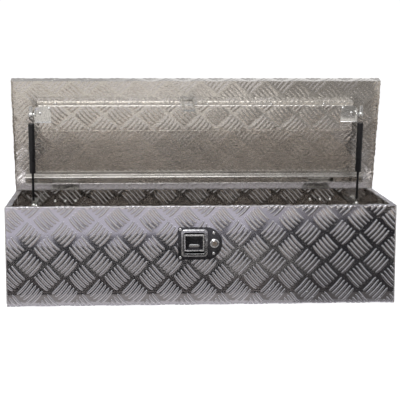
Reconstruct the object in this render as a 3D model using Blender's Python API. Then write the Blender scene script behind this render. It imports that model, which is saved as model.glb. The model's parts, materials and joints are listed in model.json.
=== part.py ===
"""Truck tool box: a folded tread-plate sheet box with a hinged lid held open by two gas struts.

World frame: origin at the centre of the base, +X along the length, +Y to the hinge side, +Z up.
Lid pieces are modelled with the lid shut and hang from an empty on the hinge axis, which opens them.
"""
import math

import bmesh
import bpy
from mathutils import Matrix, Vector

# ---------------------------------------------------------------- driving dimensions (metres)
WIDTH, DEPTH, HEIGHT = 1.000, 0.330, 0.260
SHEET = 0.002
STIFFENER_SHEET = 0.0015
GAP = 0.0003
RIM = 0.015
FOLD_RADIUS = 0.009
EDGE_RADIUS = 0.003

LID_OPEN = math.radians(75)
LID_SIDE_CLEARANCE = 0.0015
LID_FRONT_CLEARANCE = 0.0010
LID_TOP_CLEARANCE = 0.0035
LID_FLANGE = 0.030
LID_REAR_FLANGE = 0.017

HINGE_LENGTH = 0.075
HINGE_CENTRES = {"left": -0.3655, "right": 0.354}
HINGE_Z = 0.240
KNUCKLE_RADIUS = 0.0045
HINGE_PIN_RADIUS = 0.0022
LEAF = 0.0015
LEAF_BOTTOM = 0.213
LEAF_TOP_DROP = 0.002
KNUCKLE_CLEARANCE = 0.0004
HINGE_PIN_OVERHANG = 0.0015
HINGE_RIVET_PITCH = 0.0285
HINGE_RIVET_DROP = 0.0135
HINGE_RIVET_RISE = 0.0165
HINGE_WINDOW = {"half": 0.036, "rise": 0.0065}

RIVET_HEAD, RIVET_SHANK, RIVET_HOLE = 0.0042, 0.0022, 0.0025
FLAT_TAIL = 0.0006
CUT = 0.010

FRONT_STIFFENER = {"near": 0.194, "far": 0.269, "depth": 0.035, "half": 0.436, "lip": 0.012}
REAR_STIFFENER = {"near": 0.032, "far": 0.054, "depth": 0.022, "half": 0.475, "lip": 0.008}
STIFFENER_END_SLOPE = 0.006

STRUT_X = 0.450
STRUT_LID_BALL = (-0.078, 0.217)
STRUT_BOX_BALL = (0.120, 0.2185)
TUBE_RADIUS, TUBE_BORE, TUBE_START, TUBE_LENGTH = 0.0085, 0.0072, 0.024, 0.138
TUBE_CAP, TUBE_CHAMFER = 0.004, 0.0015
ROD_RADIUS, GLAND_LENGTH = 0.0035, 0.012
PISTON_RADIUS, PISTON_LENGTH, PISTON_GAP = 0.0068, 0.010, 0.002
BALL_RADIUS, SOCKET_RADIUS, SOCKET_NECK, LOWER_SOCKET_LENGTH = 0.005, 0.008, 0.0048, 0.016
COLLAR_RADIUS, COLLAR_THICKNESS = 0.0055, 0.0025
STUD_RADIUS, STUD_TAIL_RADIUS, STUD_TAIL_CHAMFER, STUD_TAIL = 0.003, 0.0048, 0.0040, 0.0015

BRACKET_X, BRACKET_SHEET = 0.4385, 0.002
TRAY_OUTLINE = [(0.3967, -0.0520), (BRACKET_X + BRACKET_SHEET, -0.0520), (BRACKET_X + BRACKET_SHEET, -0.0920),
                (0.4300, -0.0995), (0.4030, -0.0995), (0.3967, -0.0800)]
TRAY_WEB = {"near": -0.0520, "far": -0.0920, "low": 0.2090}
TRAY_LIP = 0.003
TRAY_RIVETS = [(0.4013, -0.0923), (0.4254, -0.0785)]
FOOT_LENGTH, FOOT_RIVET_X, FOOT_RIVET_ZS = 0.021, 0.013, (0.208, 0.228)
FOOT_WEB = {"near": 0.010, "below": 0.018, "above": 0.016}

LOOP_X, LOOP_HALF, LOOP_WIRE = -0.024, 0.0145, 0.003
LOOP_BAR, LOOP_BEND, LOOP_DROP = (-0.1065, 0.1665), 0.006, 0.010
STRIKER_BASE = {"half": 0.024, "low": 0.034, "high": 0.006, "corner": 0.004}

LATCH_LEFT, LATCH_RIGHT, LATCH_BOTTOM, LATCH_TOP = -0.062, 0.051, 0.1206, 0.2042
LATCH_PLATE, LATCH_CORNER = 0.002, 0.005
DISH_ROOM = 0.002
DISH = {"left": -0.050, "right": 0.008, "bottom": 0.132, "top": 0.196, "back": -0.1435, "wall": 0.0015}
FRAME_OUTER = (-0.0540, 0.0130, 0.1288, 0.1995)
FRAME_INNER = (-0.0480, 0.0060, 0.1370, 0.1915)
FRAME_HEIGHT, FRAME_BEVEL = 0.0040, 0.0025
FRAME_CORNERS = {"outer": 0.009, "inner": 0.005}
PADDLE = {"left": -0.0465, "right": 0.0045, "bottom": 0.1420, "top": 0.1865, "front": -0.1695, "sheet": 0.003}
PADDLE_AXIS = (-0.159, 0.183)
PADDLE_HUB, PADDLE_PIN_RADIUS = 0.0034, 0.0015
SPRING_WINDOW = {"left": -0.034, "right": -0.008, "rise": 0.010}
LATCH_RIVETS = [(-0.0565, 0.1990), (-0.0565, 0.1260), (0.0290, 0.1900), (0.0290, 0.1365)]
LATCH_RIVET_HEAD, LATCH_RIVET_SHANK = 0.0036, 0.0020

# Bores for the paddle pin and the pawl shaft run from one X to another.
BORE_START, BORE_END = -0.080, 0.030
PADDLE_COIL = {"radius": 0.0032, "wire": 0.0007, "turns": 4, "pitch": 0.0050}
PADDLE_COIL_X = -0.0310
CLAW_COIL = {"radius": 0.0040, "wire": 0.00035, "turns": 2, "pitch": 0.0008}

CLAW_OPEN = math.radians(60)
CLAW_AXIS, CLAW_PIN_RADIUS = (-0.1255, 0.160), 0.0025
CLAW_THICKNESS = 0.008
# The claw shut and the pawl at rest, both as (y, z) from their own axes.
CLAW_OUTLINE = [(0.0112, -0.0167), (0.0056, -0.0061), (0.0080, 0.0000), (0.0100, 0.0040), (0.0115, 0.0100),
                (0.0240, 0.0100), (0.0250, 0.0125), (0.0220, 0.0160), (0.0060, 0.0175), (-0.0030, 0.0140),
                (-0.0070, 0.0060), (-0.0070, -0.0020), (-0.0030, -0.0070), (0.0022, -0.0080), (0.0076, -0.0185)]
PAWL_OUTLINE = [(-0.0040, -0.0040), (0.0040, -0.0040), (0.0050, 0.0020), (0.0030, 0.0135), (-0.0015, 0.0140),
                (-0.0045, 0.0040)]
PAWL_AXIS, PAWL_SHAFT_RADIUS = (-0.1315, 0.137), 0.002
HOUSING_HALF, HOUSING_SHEET = 0.009, 0.002
HOUSING_OUTLINE = [(-0.1432, 0.1280), (-0.0900, 0.1280), (-0.0900, 0.1820), (-0.0960, 0.1880), (-0.1015, 0.1840),
                   (-0.1015, 0.1625), (-0.1125, 0.1625), (-0.1125, 0.1720), (-0.1230, 0.1900), (-0.1432, 0.1900)]
LINK_X = -0.0555
CRANK_LENGTH, PAWL_LEVER_LENGTH = 0.010, 0.012
CRANK_WIDTH, PAWL_LEVER_WIDTH, LINK_WIDTH = 0.0035, 0.0040, 0.0055
LINK_PIN_RADIUS, LINK_EYE_RADIUS = 0.0014, 0.0036

LOCK_CENTRE = (0.031, 0.163)
LOCK_HEAD_RADIUS, LOCK_BARREL_RADIUS, LOCK_PLUG_RADIUS = 0.012, 0.0092, 0.0062
LOCK_HEAD, LOCK_HEAD_BEVEL, LOCK_HEAD_EDGE = 0.0045, 0.0015, 0.0028
LOCK_LENGTH, LOCK_PLUG_RECESS, LOCK_PLUG_TAIL = 0.026, 0.0007, 0.001
LOCK_NUT_RADIUS, LOCK_NUT_THICKNESS = 0.0145, 0.004
KEY_SLOT = {"half": 0.0006, "deep": 0.006, "rise": 0.0042}
LOCK_CAM = {"hub": 0.0065, "tip": 0.0050, "length": 0.024, "sheet": 0.002}

FRONT, BACK = -DEPTH / 2, DEPTH / 2
INNER_X = WIDTH / 2 - SHEET
HINGE_Y = BACK + GAP + KNUCKLE_RADIUS
LID_INNER_Z = HEIGHT + LID_TOP_CLEARANCE
LID_TOP = LID_INNER_Z + SHEET
LID_HALF = WIDTH / 2 + LID_SIDE_CLEARANCE + SHEET
LID_FRONT = FRONT - LID_FRONT_CLEARANCE - SHEET
LID_BACK = BACK + LID_SIDE_CLEARANCE + SHEET
SIDES = {"left": -1, "right": 1}

# ---------------------------------------------------------------- mesh helpers
PLANES = {
    "X": lambda u, v, w: (w, u, v),
    "Y": lambda u, v, w: (u, w, v),
    "Z": lambda u, v, w: (u, v, w),
}


def clear_scene():
    for obj in list(bpy.data.objects):
        bpy.data.objects.remove(obj, do_unlink=True)


def make_material(name, colour, roughness, metallic):
    mat = bpy.data.materials.new(name)
    mat.use_nodes = True
    shader = mat.node_tree.nodes["Principled BSDF"]
    shader.inputs["Base Color"].default_value = (*colour, 1.0)
    shader.inputs["Roughness"].default_value = roughness
    shader.inputs["Metallic"].default_value = metallic
    return mat


def pivot(name, location, angle):
    """An empty on a joint's axis, turned about X."""
    empty = bpy.data.objects.new(name, None)
    empty.location = location
    empty.rotation_euler = (angle, 0.0, 0.0)
    bpy.context.scene.collection.objects.link(empty)
    return empty


def add_object(name, bm, mat, parent=None, local=False, smooth=None):
    """Link a mesh; a parented mesh is given in world places with its parent unturned, unless local."""
    if parent is not None and not local:
        bm.transform(Matrix.Translation(-parent.location))
    bmesh.ops.recalc_face_normals(bm, faces=bm.faces[:])
    mesh = bpy.data.meshes.new(name)
    bm.to_mesh(mesh)
    bm.free()
    if smooth is not None:
        mesh.shade_smooth()
        mesh.set_sharp_from_angle(angle=math.radians(smooth))
    obj = bpy.data.objects.new(name, mesh)
    obj.parent = parent
    if mat is not None:
        mesh.materials.append(mat)
    bpy.context.scene.collection.objects.link(obj)
    return obj


def combine(target, helper_bm, operation="DIFFERENCE", local=False):
    """Boolean a hidden helper into target."""
    name = f"{target.name}_tool_{len(target.modifiers)}"
    helper = add_object(name, helper_bm, None, target.parent, local)
    helper.hide_render = True
    helper.display_type = "WIRE"
    modifier = target.modifiers.new("shape", "BOOLEAN")
    modifier.operation = operation
    modifier.solver = "EXACT"
    modifier.object = helper


def join(*parts):
    """One bmesh holding the given bmeshes as separate bodies."""
    whole = bmesh.new()
    for part in parts:
        mesh = bpy.data.meshes.new("scratch")
        part.to_mesh(mesh)
        part.free()
        whole.from_mesh(mesh)
        bpy.data.meshes.remove(mesh)
    return whole


def prism(outline, axis, low, high):
    """A straight prism: outline is (y, z) for axis X, (x, z) for Y and (x, y) for Z."""
    bm = bmesh.new()
    place = PLANES[axis]
    ends = [[bm.verts.new(place(u, v, w)) for u, v in outline] for w in (low, high)]
    for end in ends:
        bm.faces.new(end)
    for i in range(len(outline)):
        bm.faces.new((ends[0][i - 1], ends[0][i], ends[1][i], ends[1][i - 1]))
    bmesh.ops.recalc_face_normals(bm, faces=bm.faces[:])
    return bm


def box(low, high):
    corners = [(low[0], low[1]), (high[0], low[1]), (high[0], high[1]), (low[0], high[1])]
    return prism(corners, "Z", low[2], high[2])


def turned(profile, segments=16, ring=False):
    """Turn (radius, height) points about Z. A ring's profile closes on itself."""
    bm = bmesh.new()
    rows = []
    for radius, height in profile:
        if radius == 0:
            rows.append([bm.verts.new((0, 0, height))] * segments)
            continue
        angles = [2 * math.pi * i / segments for i in range(segments)]
        rows.append([bm.verts.new((radius * math.cos(a), radius * math.sin(a), height)) for a in angles])
    pairs = list(zip(rows, rows[1:])) + ([(rows[-1], rows[0])] if ring else [])
    for upper, lower in pairs:
        for i in range(segments):
            corners = (upper[i - 1], upper[i], lower[i], lower[i - 1])
            bm.faces.new(list(dict.fromkeys(corners)))
    return bm


def arc(centre, radius, start, end, steps):
    """Points (u, v) on a circle, angles in degrees."""
    angles = [math.radians(start + (end - start) * i / steps) for i in range(steps + 1)]
    return [(centre[0] + radius * math.cos(a), centre[1] + radius * math.sin(a)) for a in angles]


def rounded_rectangle(left, right, bottom, top, radius, steps=4):
    corners = [(right, top, 0), (left, top, 90), (left, bottom, 180), (right, bottom, 270)]
    points = []
    for u, v, start in corners:
        inwards = (math.copysign(radius, (left + right) / 2 - u), math.copysign(radius, (bottom + top) / 2 - v))
        centre = (u + inwards[0], v + inwards[1])
        points += arc(centre, radius, start, start + 90, steps)
    return points


def along(bm, axis, centre):
    """Lay a Z-turned mesh along an axis, with its own origin at centre."""
    turns = {"X": Matrix.Rotation(math.pi / 2, 4, "Y"), "-X": Matrix.Rotation(-math.pi / 2, 4, "Y"),
             "Y": Matrix.Rotation(-math.pi / 2, 4, "X"), "-Y": Matrix.Rotation(math.pi / 2, 4, "X"),
             "Z": Matrix.Identity(4), "-Z": Matrix.Rotation(math.pi, 4, "X")}
    bm.transform(Matrix.Translation(Vector(centre)) @ turns[axis])
    return bm


def rod(radius, axis, centre, low, high, segments=16):
    """A plain round bar from low to high along axis, measured from centre."""
    return along(turned([(0, low), (radius, low), (radius, high), (0, high)], segments), axis, centre)


def fillet(points, radii, steps):
    """Round the inner corners of an open path."""
    path = [points[0]]
    for before, corner, after, radius in zip(points, points[1:], points[2:], radii):
        into = (Vector(corner) - Vector(before)).normalized()
        out = (Vector(after) - Vector(corner)).normalized()
        turn = into.angle_signed(out)
        reach = radius * math.tan(abs(turn) / 2)
        side = -1 if turn > 0 else 1
        start = Vector(corner) - into * reach
        centre = start + Vector((-into.y, into.x)) * radius * side
        first = math.degrees(math.atan2(start.y - centre.y, start.x - centre.x))
        path += arc(centre, radius, first, first - math.degrees(turn), steps)
    return path + [points[-1]]


def sheet_outline(points, radii, thickness, steps=4):
    """A folded sheet's edge: the path is its outer face, the sheet lies to the path's left."""
    path = [Vector(p) for p in fillet(points, radii, steps)]
    inner = []
    for i, point in enumerate(path):
        ways = [(b - a).normalized() for a, b in zip(path[max(i - 1, 0):i + 1], path[max(i, 1):i + 2])]
        if i == 0:
            ways = [(path[1] - path[0]).normalized()]
        normals = [Vector((-way.y, way.x)) for way in ways]
        middle = sum(normals, Vector((0, 0))).normalized()
        inner.append(point + middle * thickness / middle.dot(normals[0]))
    return [tuple(p) for p in path] + [tuple(p) for p in reversed(inner)]


def rivets(centres, axis, head, shank, grip, segments=8, flat_tail=0.0):
    """Domed rivets set through a grip; each centre lies under the head, axis points outwards."""
    dome, tail = head * 0.5, head * 0.85
    profile = [(0, dome), (head * 0.7, dome * 0.65), (head, 0), (shank, 0), (shank, -grip), (tail, -grip)]
    if flat_tail:
        profile += [(tail, -grip - flat_tail), (0, -grip - flat_tail)]
    else:
        profile += [(0, -grip - dome * 0.8)]
    return join(*[along(turned(profile, segments), axis, centre) for centre in centres])


def set_rivets(carrier, centres, axis, grip, flat_tail=0.0):
    """Rivets that are one body with the leaf or bracket they hold; centres lie on its free face."""
    sunk = GAP / 2
    offset = {"Y": Vector((0, sunk, 0)), "-Y": Vector((0, -sunk, 0)), "-Z": Vector((0, 0, -sunk))}[axis]
    places = [tuple(Vector(centre) - offset) for centre in centres]
    row = rivets(places, axis, RIVET_HEAD, RIVET_SHANK, grip - sunk, flat_tail=flat_tail)
    combine(carrier, row, "UNION")


def holes(centres, axis, radius, reach, segments=8):
    return join(*[rod(radius, axis, centre, -reach, reach, segments) for centre in centres])


# ---------------------------------------------------------------- materials
def palette():
    return {
        "tread": make_material("tread_plate", (0.60, 0.59, 0.62), 0.34, 1.0),
        "plain": make_material("plain_sheet", (0.62, 0.61, 0.60), 0.40, 1.0),
        "zinc": make_material("zinc_steel", (0.66, 0.65, 0.62), 0.35, 1.0),
        "chrome": make_material("chrome", (0.80, 0.80, 0.80), 0.10, 1.0),
        "dark": make_material("dark_stainless", (0.22, 0.22, 0.24), 0.22, 1.0),
        "black": make_material("black_enamel", (0.015, 0.015, 0.017), 0.30, 0.0),
        "spring": make_material("spring_steel", (0.45, 0.45, 0.46), 0.35, 1.0),
    }


# ---------------------------------------------------------------- box
def hinge_rivet_places(name, z, y):
    offsets = (-HINGE_RIVET_PITCH, 0.0, HINGE_RIVET_PITCH)
    return [(HINGE_CENTRES[name] + offset, y, z) for offset in offsets]


def lower_bracket_rivet_places(side, y):
    return [(side * (BRACKET_X + FOOT_RIVET_X), y, z) for z in FOOT_RIVET_ZS]


def lock_hole(y):
    return rod(LOCK_BARREL_RADIUS + GAP, "Y", (LOCK_CENTRE[0], y, LOCK_CENTRE[1]), -CUT, CUT, 20)


def make_box(mats):
    path = [(FRONT + RIM, HEIGHT), (FRONT, HEIGHT), (FRONT, 0),
            (BACK, 0), (BACK, HEIGHT), (BACK - RIM, HEIGHT)]
    radii = (EDGE_RADIUS, FOLD_RADIUS, FOLD_RADIUS, EDGE_RADIUS)
    half = INNER_X - GAP
    folded = prism(sheet_outline(path, radii, SHEET), "X", -half, half)
    shell = add_object("body_shell", folded, mats["tread"])
    combine(shell, box((DISH["left"] - DISH_ROOM, FRONT - CUT, DISH["bottom"] - DISH_ROOM),
                       (DISH["right"] + DISH_ROOM, FRONT + CUT, DISH["top"] + DISH_ROOM)))
    combine(shell, lock_hole(FRONT))
    combine(shell, holes([(x, FRONT, z) for x, z in LATCH_RIVETS], "Y", RIVET_HOLE, CUT))
    for name, side in SIDES.items():
        places = hinge_rivet_places(name, HINGE_Z - HINGE_RIVET_DROP, BACK)
        places += lower_bracket_rivet_places(side, BACK)
        combine(shell, holes(places, "Y", RIVET_HOLE, CUT))

    outline = ([(FRONT, HEIGHT)] + arc((FRONT + FOLD_RADIUS, FOLD_RADIUS), FOLD_RADIUS, 180, 270, 4)
               + arc((BACK - FOLD_RADIUS, FOLD_RADIUS), FOLD_RADIUS, 270, 360, 4) + [(BACK, HEIGHT)])
    for name, side in SIDES.items():
        low, high = sorted((side * INNER_X, side * WIDTH / 2))
        panel = add_object(f"{name}_end_panel", prism(outline, "X", low, high), mats["tread"])
        lip_low, lip_high = sorted((side * (WIDTH / 2 - RIM), side * (INNER_X + SHEET / 2)))
        lip_y = BACK - RIM - GAP
        combine(panel, box((lip_low, -lip_y, HEIGHT - SHEET), (lip_high, lip_y, HEIGHT)), "UNION")


# ---------------------------------------------------------------- hinges
def make_hinges(mats, lid):
    axis = (HINGE_Y, HINGE_Z)
    near = BACK + GAP
    step = HINGE_LENGTH / 5
    meet = math.degrees(math.acos((near + LEAF - HINGE_Y) / KNUCKLE_RADIUS))
    body_outline = ([(near, HINGE_Z), (near, LEAF_BOTTOM), (near + LEAF, LEAF_BOTTOM)]
                    + arc(axis, KNUCKLE_RADIUS, 360 - meet, 540, 12)[:-1])
    lid_near = LID_BACK + GAP
    first = math.degrees(math.acos((lid_near + LEAF - HINGE_Y) / KNUCKLE_RADIUS))
    last = math.degrees(math.acos((lid_near - HINGE_Y) / KNUCKLE_RADIUS))
    leaf_top = LID_TOP - LEAF_TOP_DROP
    lid_outline = ([(lid_near, leaf_top), (lid_near + LEAF, leaf_top)]
                   + arc(axis, KNUCKLE_RADIUS, first, last - 360, 12))
    reach = KNUCKLE_RADIUS + LEAF / 2
    for name, centre in HINGE_CENTRES.items():
        start = centre - HINGE_LENGTH / 2
        ends = (start, start + HINGE_LENGTH)
        plate = prism(body_outline, "X", *ends)
        body_leaf = add_object(f"{name}_hinge_body_leaf", plate, mats["zinc"])
        plate = prism(lid_outline, "X", *ends)
        lid_leaf = add_object(f"{name}_hinge_lid_leaf", plate, mats["zinc"], lid)
        for leaf, gaps in ((body_leaf, (1, 3)), (lid_leaf, (0, 2, 4))):
            slots = []
            for i in gaps:
                low = start + i * step - KNUCKLE_CLEARANCE / 2
                high = low + step + KNUCKLE_CLEARANCE
                slots.append(box((low, HINGE_Y - reach, HINGE_Z - reach),
                                 (high, HINGE_Y + reach, HINGE_Z + reach)))
            combine(leaf, join(*slots))
            bore = rod(HINGE_PIN_RADIUS + GAP, "X", (centre, *axis), -HINGE_LENGTH, HINGE_LENGTH, 14)
            combine(leaf, bore)
        grip = LEAF + SHEET + 2 * GAP
        places = hinge_rivet_places(name, HINGE_Z - HINGE_RIVET_DROP, near + LEAF)
        set_rivets(body_leaf, places, "Y", grip)
        places = hinge_rivet_places(name, HINGE_Z + HINGE_RIVET_RISE, lid_near + LEAF)
        set_rivets(lid_leaf, places, "Y", grip, FLAT_TAIL)
        pin_half = HINGE_LENGTH / 2 + HINGE_PIN_OVERHANG
        pin = rod(HINGE_PIN_RADIUS, "X", (centre, *axis), -pin_half, pin_half, 14)
        add_object(f"{name}_hinge_pin", pin, mats["zinc"], smooth=40)


# ---------------------------------------------------------------- lid
def upper_bracket_rivet_places(side, z):
    return [(side * x, y, z) for x, y in TRAY_RIVETS]


def hat_channel(size):
    """A hat-section stiffener's outline in (y, z), lid shut, its lips against the lid's skin."""
    lip_z = LID_INNER_Z - GAP - STIFFENER_SHEET
    face = LID_INNER_Z - size["depth"]
    near, far = LID_BACK - size["near"], LID_BACK - size["far"]
    path = [(far - size["lip"], lip_z), (far, lip_z), (far, face), (near, face), (near, lip_z),
            (near + size["lip"], lip_z)]
    return sheet_outline(path, (0.001, EDGE_RADIUS, EDGE_RADIUS, 0.001), STIFFENER_SHEET, 3)


def make_lid(mats, lid):
    outer = prism(rounded_rectangle(-LID_HALF, LID_HALF, LID_FRONT, LID_BACK, EDGE_RADIUS, 3), "Z",
                  LID_TOP - LID_FLANGE, LID_TOP)
    top_edges = [e for e in outer.edges if all(abs(v.co.z - LID_TOP) < 1e-6 for v in e.verts)]
    bmesh.ops.bevel(outer, geom=top_edges, offset=EDGE_RADIUS / 2, segments=2, affect="EDGES",
                    clamp_overlap=True)
    pan = add_object("lid_pan", outer, mats["tread"], lid)
    hollow = rounded_rectangle(-LID_HALF + SHEET, LID_HALF - SHEET, LID_FRONT + SHEET, LID_BACK - SHEET,
                               EDGE_RADIUS - SHEET, 3)
    combine(pan, prism(hollow, "Z", LID_TOP - LID_FLANGE - CUT, LID_INNER_Z))
    end = LID_HALF - SHEET * 3 / 4
    combine(pan, box((-end, LID_BACK - 2 * SHEET, LID_TOP - LID_FLANGE - CUT),
                     (end, LID_BACK + 2 * SHEET, LID_TOP - LID_REAR_FLANGE)))
    for name in SIDES:
        places = hinge_rivet_places(name, HINGE_Z + HINGE_RIVET_RISE, LID_BACK)
        combine(pan, holes(places, "Y", RIVET_HOLE, CUT))

    for name, size in (("front_stiffener", FRONT_STIFFENER), ("rear_stiffener", REAR_STIFFENER)):
        channel = prism(hat_channel(size), "X", -size["half"], size["half"])
        if name == "front_stiffener":
            for vert in channel.verts:
                drop = (LID_INNER_Z - GAP - STIFFENER_SHEET - vert.co.z) / size["depth"]
                vert.co.x -= math.copysign(STIFFENER_END_SLOPE * max(drop, 0.0), vert.co.x)
        stiffener = add_object(name, channel, mats["plain"], lid)
        face = LID_INNER_Z - size["depth"]
        if name == "rear_stiffener":
            middle = LID_BACK - (size["near"] + size["far"]) / 2
            half, rise = HINGE_WINDOW["half"], HINGE_WINDOW["rise"]
            windows = [box((centre - half, middle - rise, face - CUT),
                           (centre + half, middle + rise, face + CUT)) for centre in HINGE_CENTRES.values()]
            combine(stiffener, join(*windows))
        else:
            for side in SIDES.values():
                combine(stiffener, holes(upper_bracket_rivet_places(side, face), "Z", RIVET_HOLE, CUT))


def make_striker(mats, lid):
    """A bent wire loop that hangs from the front stiffener, lid shut."""
    y, bottom = LOOP_BAR
    top = LID_INNER_Z - LOOP_DROP
    left, right = LOOP_X - LOOP_HALF, LOOP_X + LOOP_HALF
    route = ([(left, top)] + arc((left + LOOP_BEND, bottom + LOOP_BEND), LOOP_BEND, 180, 270, 5)
             + arc((right - LOOP_BEND, bottom + LOOP_BEND), LOOP_BEND, 270, 360, 5) + [(right, top)])
    curve = bpy.data.curves.new("striker_route", "CURVE")
    curve.dimensions = "3D"
    curve.bevel_depth = LOOP_WIRE
    curve.bevel_resolution = 2
    curve.use_fill_caps = True
    spline = curve.splines.new("POLY")
    spline.points.add(len(route) - 1)
    for point, (x, z) in zip(spline.points, route):
        point.co = (x, y - lid.location.y, z - lid.location.z, 1.0)
    curve.materials.append(mats["zinc"])
    loop = bpy.data.objects.new("striker_loop", curve)
    loop.parent = lid
    bpy.context.scene.collection.objects.link(loop)
    wall = LID_BACK - FRONT_STIFFENER["far"]
    half = STRIKER_BASE["half"]
    low, high = LID_INNER_Z - STRIKER_BASE["low"], LID_INNER_Z - STRIKER_BASE["high"]
    plate = rounded_rectangle(LOOP_X - half, LOOP_X + half, low, high, STRIKER_BASE["corner"], 3)
    add_object("striker_base", prism(plate, "Y", y + LOOP_WIRE + GAP, wall - GAP), mats["zinc"], lid)


# ---------------------------------------------------------------- gas struts
def swing_open(point):
    """Where a (y, z) point of the shut lid is with the lid open."""
    y, z = point[0] - HINGE_Y, point[1] - HINGE_Z
    c, s = math.cos(LID_OPEN), math.sin(LID_OPEN)
    return HINGE_Y + y * c + z * s, HINGE_Z - y * s + z * c


def ball_stud(reach):
    """A ball at the origin on a shank that runs down -Z to a collar which ends at -reach."""
    collar = -reach + COLLAR_THICKNESS
    ball = arc((0, 0), BALL_RADIUS, 90, -50, 4)
    shank = BALL_RADIUS * math.cos(math.radians(50))
    return [(max(u, 0.0) if i else 0.0, v) for i, (u, v) in enumerate(ball)] + [
        (shank, collar), (COLLAR_RADIUS, collar), (COLLAR_RADIUS, -reach)]


def socket(direction, length):
    """A ball socket with its centre at the origin and its neck along direction (1 up, -1 down)."""
    round_end = arc((0, 0), SOCKET_RADIUS, 90, -52, 5)
    profile = [(max(u, 0.0) if i else 0.0, v) for i, (u, v) in enumerate(round_end)]
    profile += [(SOCKET_NECK, -length), (0, -length)]
    return turned([(u, -v * direction) for u, v in profile], 12)


def socket_cavity(side):
    """Room for the ball, open towards the middle of the box."""
    room = BALL_RADIUS + GAP
    profile = [(max(u, 0.0) if i else 0.0, v) for i, (u, v) in enumerate(arc((0, 0), room, 90, 0, 3))]
    profile += [(room, -SOCKET_RADIUS - CUT), (0, -SOCKET_RADIUS - CUT)]
    return along(turned(profile, 12), "X" if side > 0 else "-X", (0, 0, 0))


def make_struts(mats, lid):
    upper, lower = Vector(swing_open(STRUT_LID_BALL)), Vector(STRUT_BOX_BALL)
    length = (upper - lower).length
    lean = math.atan2(lower.x - upper.x, upper.y - lower.y)
    reach = STRUT_X - BRACKET_X - BRACKET_SHEET - GAP
    gland_low = -TUBE_START - TUBE_LENGTH
    gland_high = gland_low + GLAND_LENGTH
    piston_low = gland_high + PISTON_GAP
    cap = -TUBE_START - TUBE_CAP
    for name, side in SIDES.items():
        outwards = "X" if side > 0 else "-X"
        top = pivot(f"{name}_strut_lid_ball", (side * STRUT_X, upper.x, upper.y), lean)
        foot = pivot(f"{name}_strut_box_ball", (side * STRUT_X, lower.x, lower.y), lean)
        body = socket(1, TUBE_START - GAP)
        fitting = add_object(f"{name}_strut_upper_socket", body, mats["zinc"], top, True, 40)
        combine(fitting, socket_cavity(side), local=True)
        tube = [(0, -TUBE_START), (TUBE_RADIUS - TUBE_CHAMFER, -TUBE_START),
                (TUBE_RADIUS, -TUBE_START - TUBE_CHAMFER), (TUBE_RADIUS, gland_low), (TUBE_BORE, gland_low),
                (TUBE_BORE, cap), (0, cap)]
        add_object(f"{name}_strut_tube", turned(tube, 20), mats["black"], top, True, 40)
        gland = [(TUBE_BORE - GAP, gland_low), (TUBE_BORE - GAP, gland_high),
                 (ROD_RADIUS + GAP, gland_high), (ROD_RADIUS + GAP, gland_low)]
        add_object(f"{name}_strut_gland", turned(gland, 16, ring=True), mats["zinc"], top, True, 40)
        rod_bottom, rod_top = -length + LOWER_SOCKET_LENGTH + GAP, piston_low + PISTON_LENGTH
        shaft = [(0, rod_bottom), (ROD_RADIUS, rod_bottom), (ROD_RADIUS, piston_low),
                 (PISTON_RADIUS, piston_low), (PISTON_RADIUS, rod_top), (0, rod_top)]
        body = turned([(r, z + length) for r, z in shaft], 14)
        add_object(f"{name}_strut_rod", body, mats["black"], foot, True, 40)
        body = socket(-1, LOWER_SOCKET_LENGTH)
        fitting = add_object(f"{name}_strut_lower_socket", body, mats["zinc"], foot, True, 40)
        combine(fitting, socket_cavity(side), local=True)

        tail = reach + BRACKET_SHEET + 2 * GAP
        upper_stud = ball_stud(reach) + [
            (STUD_RADIUS, -reach), (STUD_RADIUS, -tail), (STUD_TAIL_RADIUS, -tail),
            (STUD_TAIL_CHAMFER, -tail - STUD_TAIL), (0, -tail - STUD_TAIL)]
        stud = along(turned(upper_stud, 10), outwards, (side * STRUT_X, *STRUT_LID_BALL))
        add_object(f"{name}_strut_upper_ball", stud, mats["zinc"], lid, smooth=40)
        lower_stud = ball_stud(reach) + [(0, -reach)]
        stud = along(turned(lower_stud, 10), outwards, (0, 0, 0))
        add_object(f"{name}_strut_lower_ball", stud, mats["zinc"], foot, True, 40)
        make_brackets(mats, lid, name, side)


def make_brackets(mats, lid, name, side):
    """The folded trays on the front stiffener and the angles on the back wall carry the ball studs."""
    web, free = side * BRACKET_X, side * (BRACKET_X + BRACKET_SHEET)
    low, high = sorted((web, free))
    y, z = STRUT_LID_BALL
    top = LID_INNER_Z - FRONT_STIFFENER["depth"] - GAP
    under = top - BRACKET_SHEET
    plate = prism([(side * x, v) for x, v in TRAY_OUTLINE], "Z", under, top)
    bracket = add_object(f"{name}_strut_upper_bracket", plate, mats["zinc"], lid)
    combine(bracket, box((low, TRAY_WEB["far"], TRAY_WEB["low"]), (high, TRAY_WEB["near"], top)), "UNION")
    start, end = sorted((side * TRAY_OUTLINE[0][0], free))
    near = TRAY_WEB["near"]
    combine(bracket, box((start, near - BRACKET_SHEET, under - TRAY_LIP), (end, near, top)), "UNION")
    combine(bracket, rod(STUD_RADIUS + GAP, "X", (web, y, z), -CUT, CUT, 14))
    grip = BRACKET_SHEET + STIFFENER_SHEET + 2 * GAP
    set_rivets(bracket, upper_bracket_rivet_places(side, under), "-Z", grip)

    y, z = STRUT_BOX_BALL
    wall = BACK - SHEET - GAP
    foot_end, tip = side * (BRACKET_X + FOOT_LENGTH), y - FOOT_WEB["near"]
    angle = [(web, tip), (free, tip), (free, wall - BRACKET_SHEET), (foot_end, wall - BRACKET_SHEET),
             (foot_end, wall), (web, wall)]
    folded = prism(angle, "Z", z - FOOT_WEB["below"], z + FOOT_WEB["above"])
    bracket = add_object(f"{name}_strut_lower_bracket", folded, mats["zinc"])
    grip = BRACKET_SHEET + SHEET + 2 * GAP
    set_rivets(bracket, lower_bracket_rivet_places(side, wall - BRACKET_SHEET), "-Y", grip)


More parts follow.
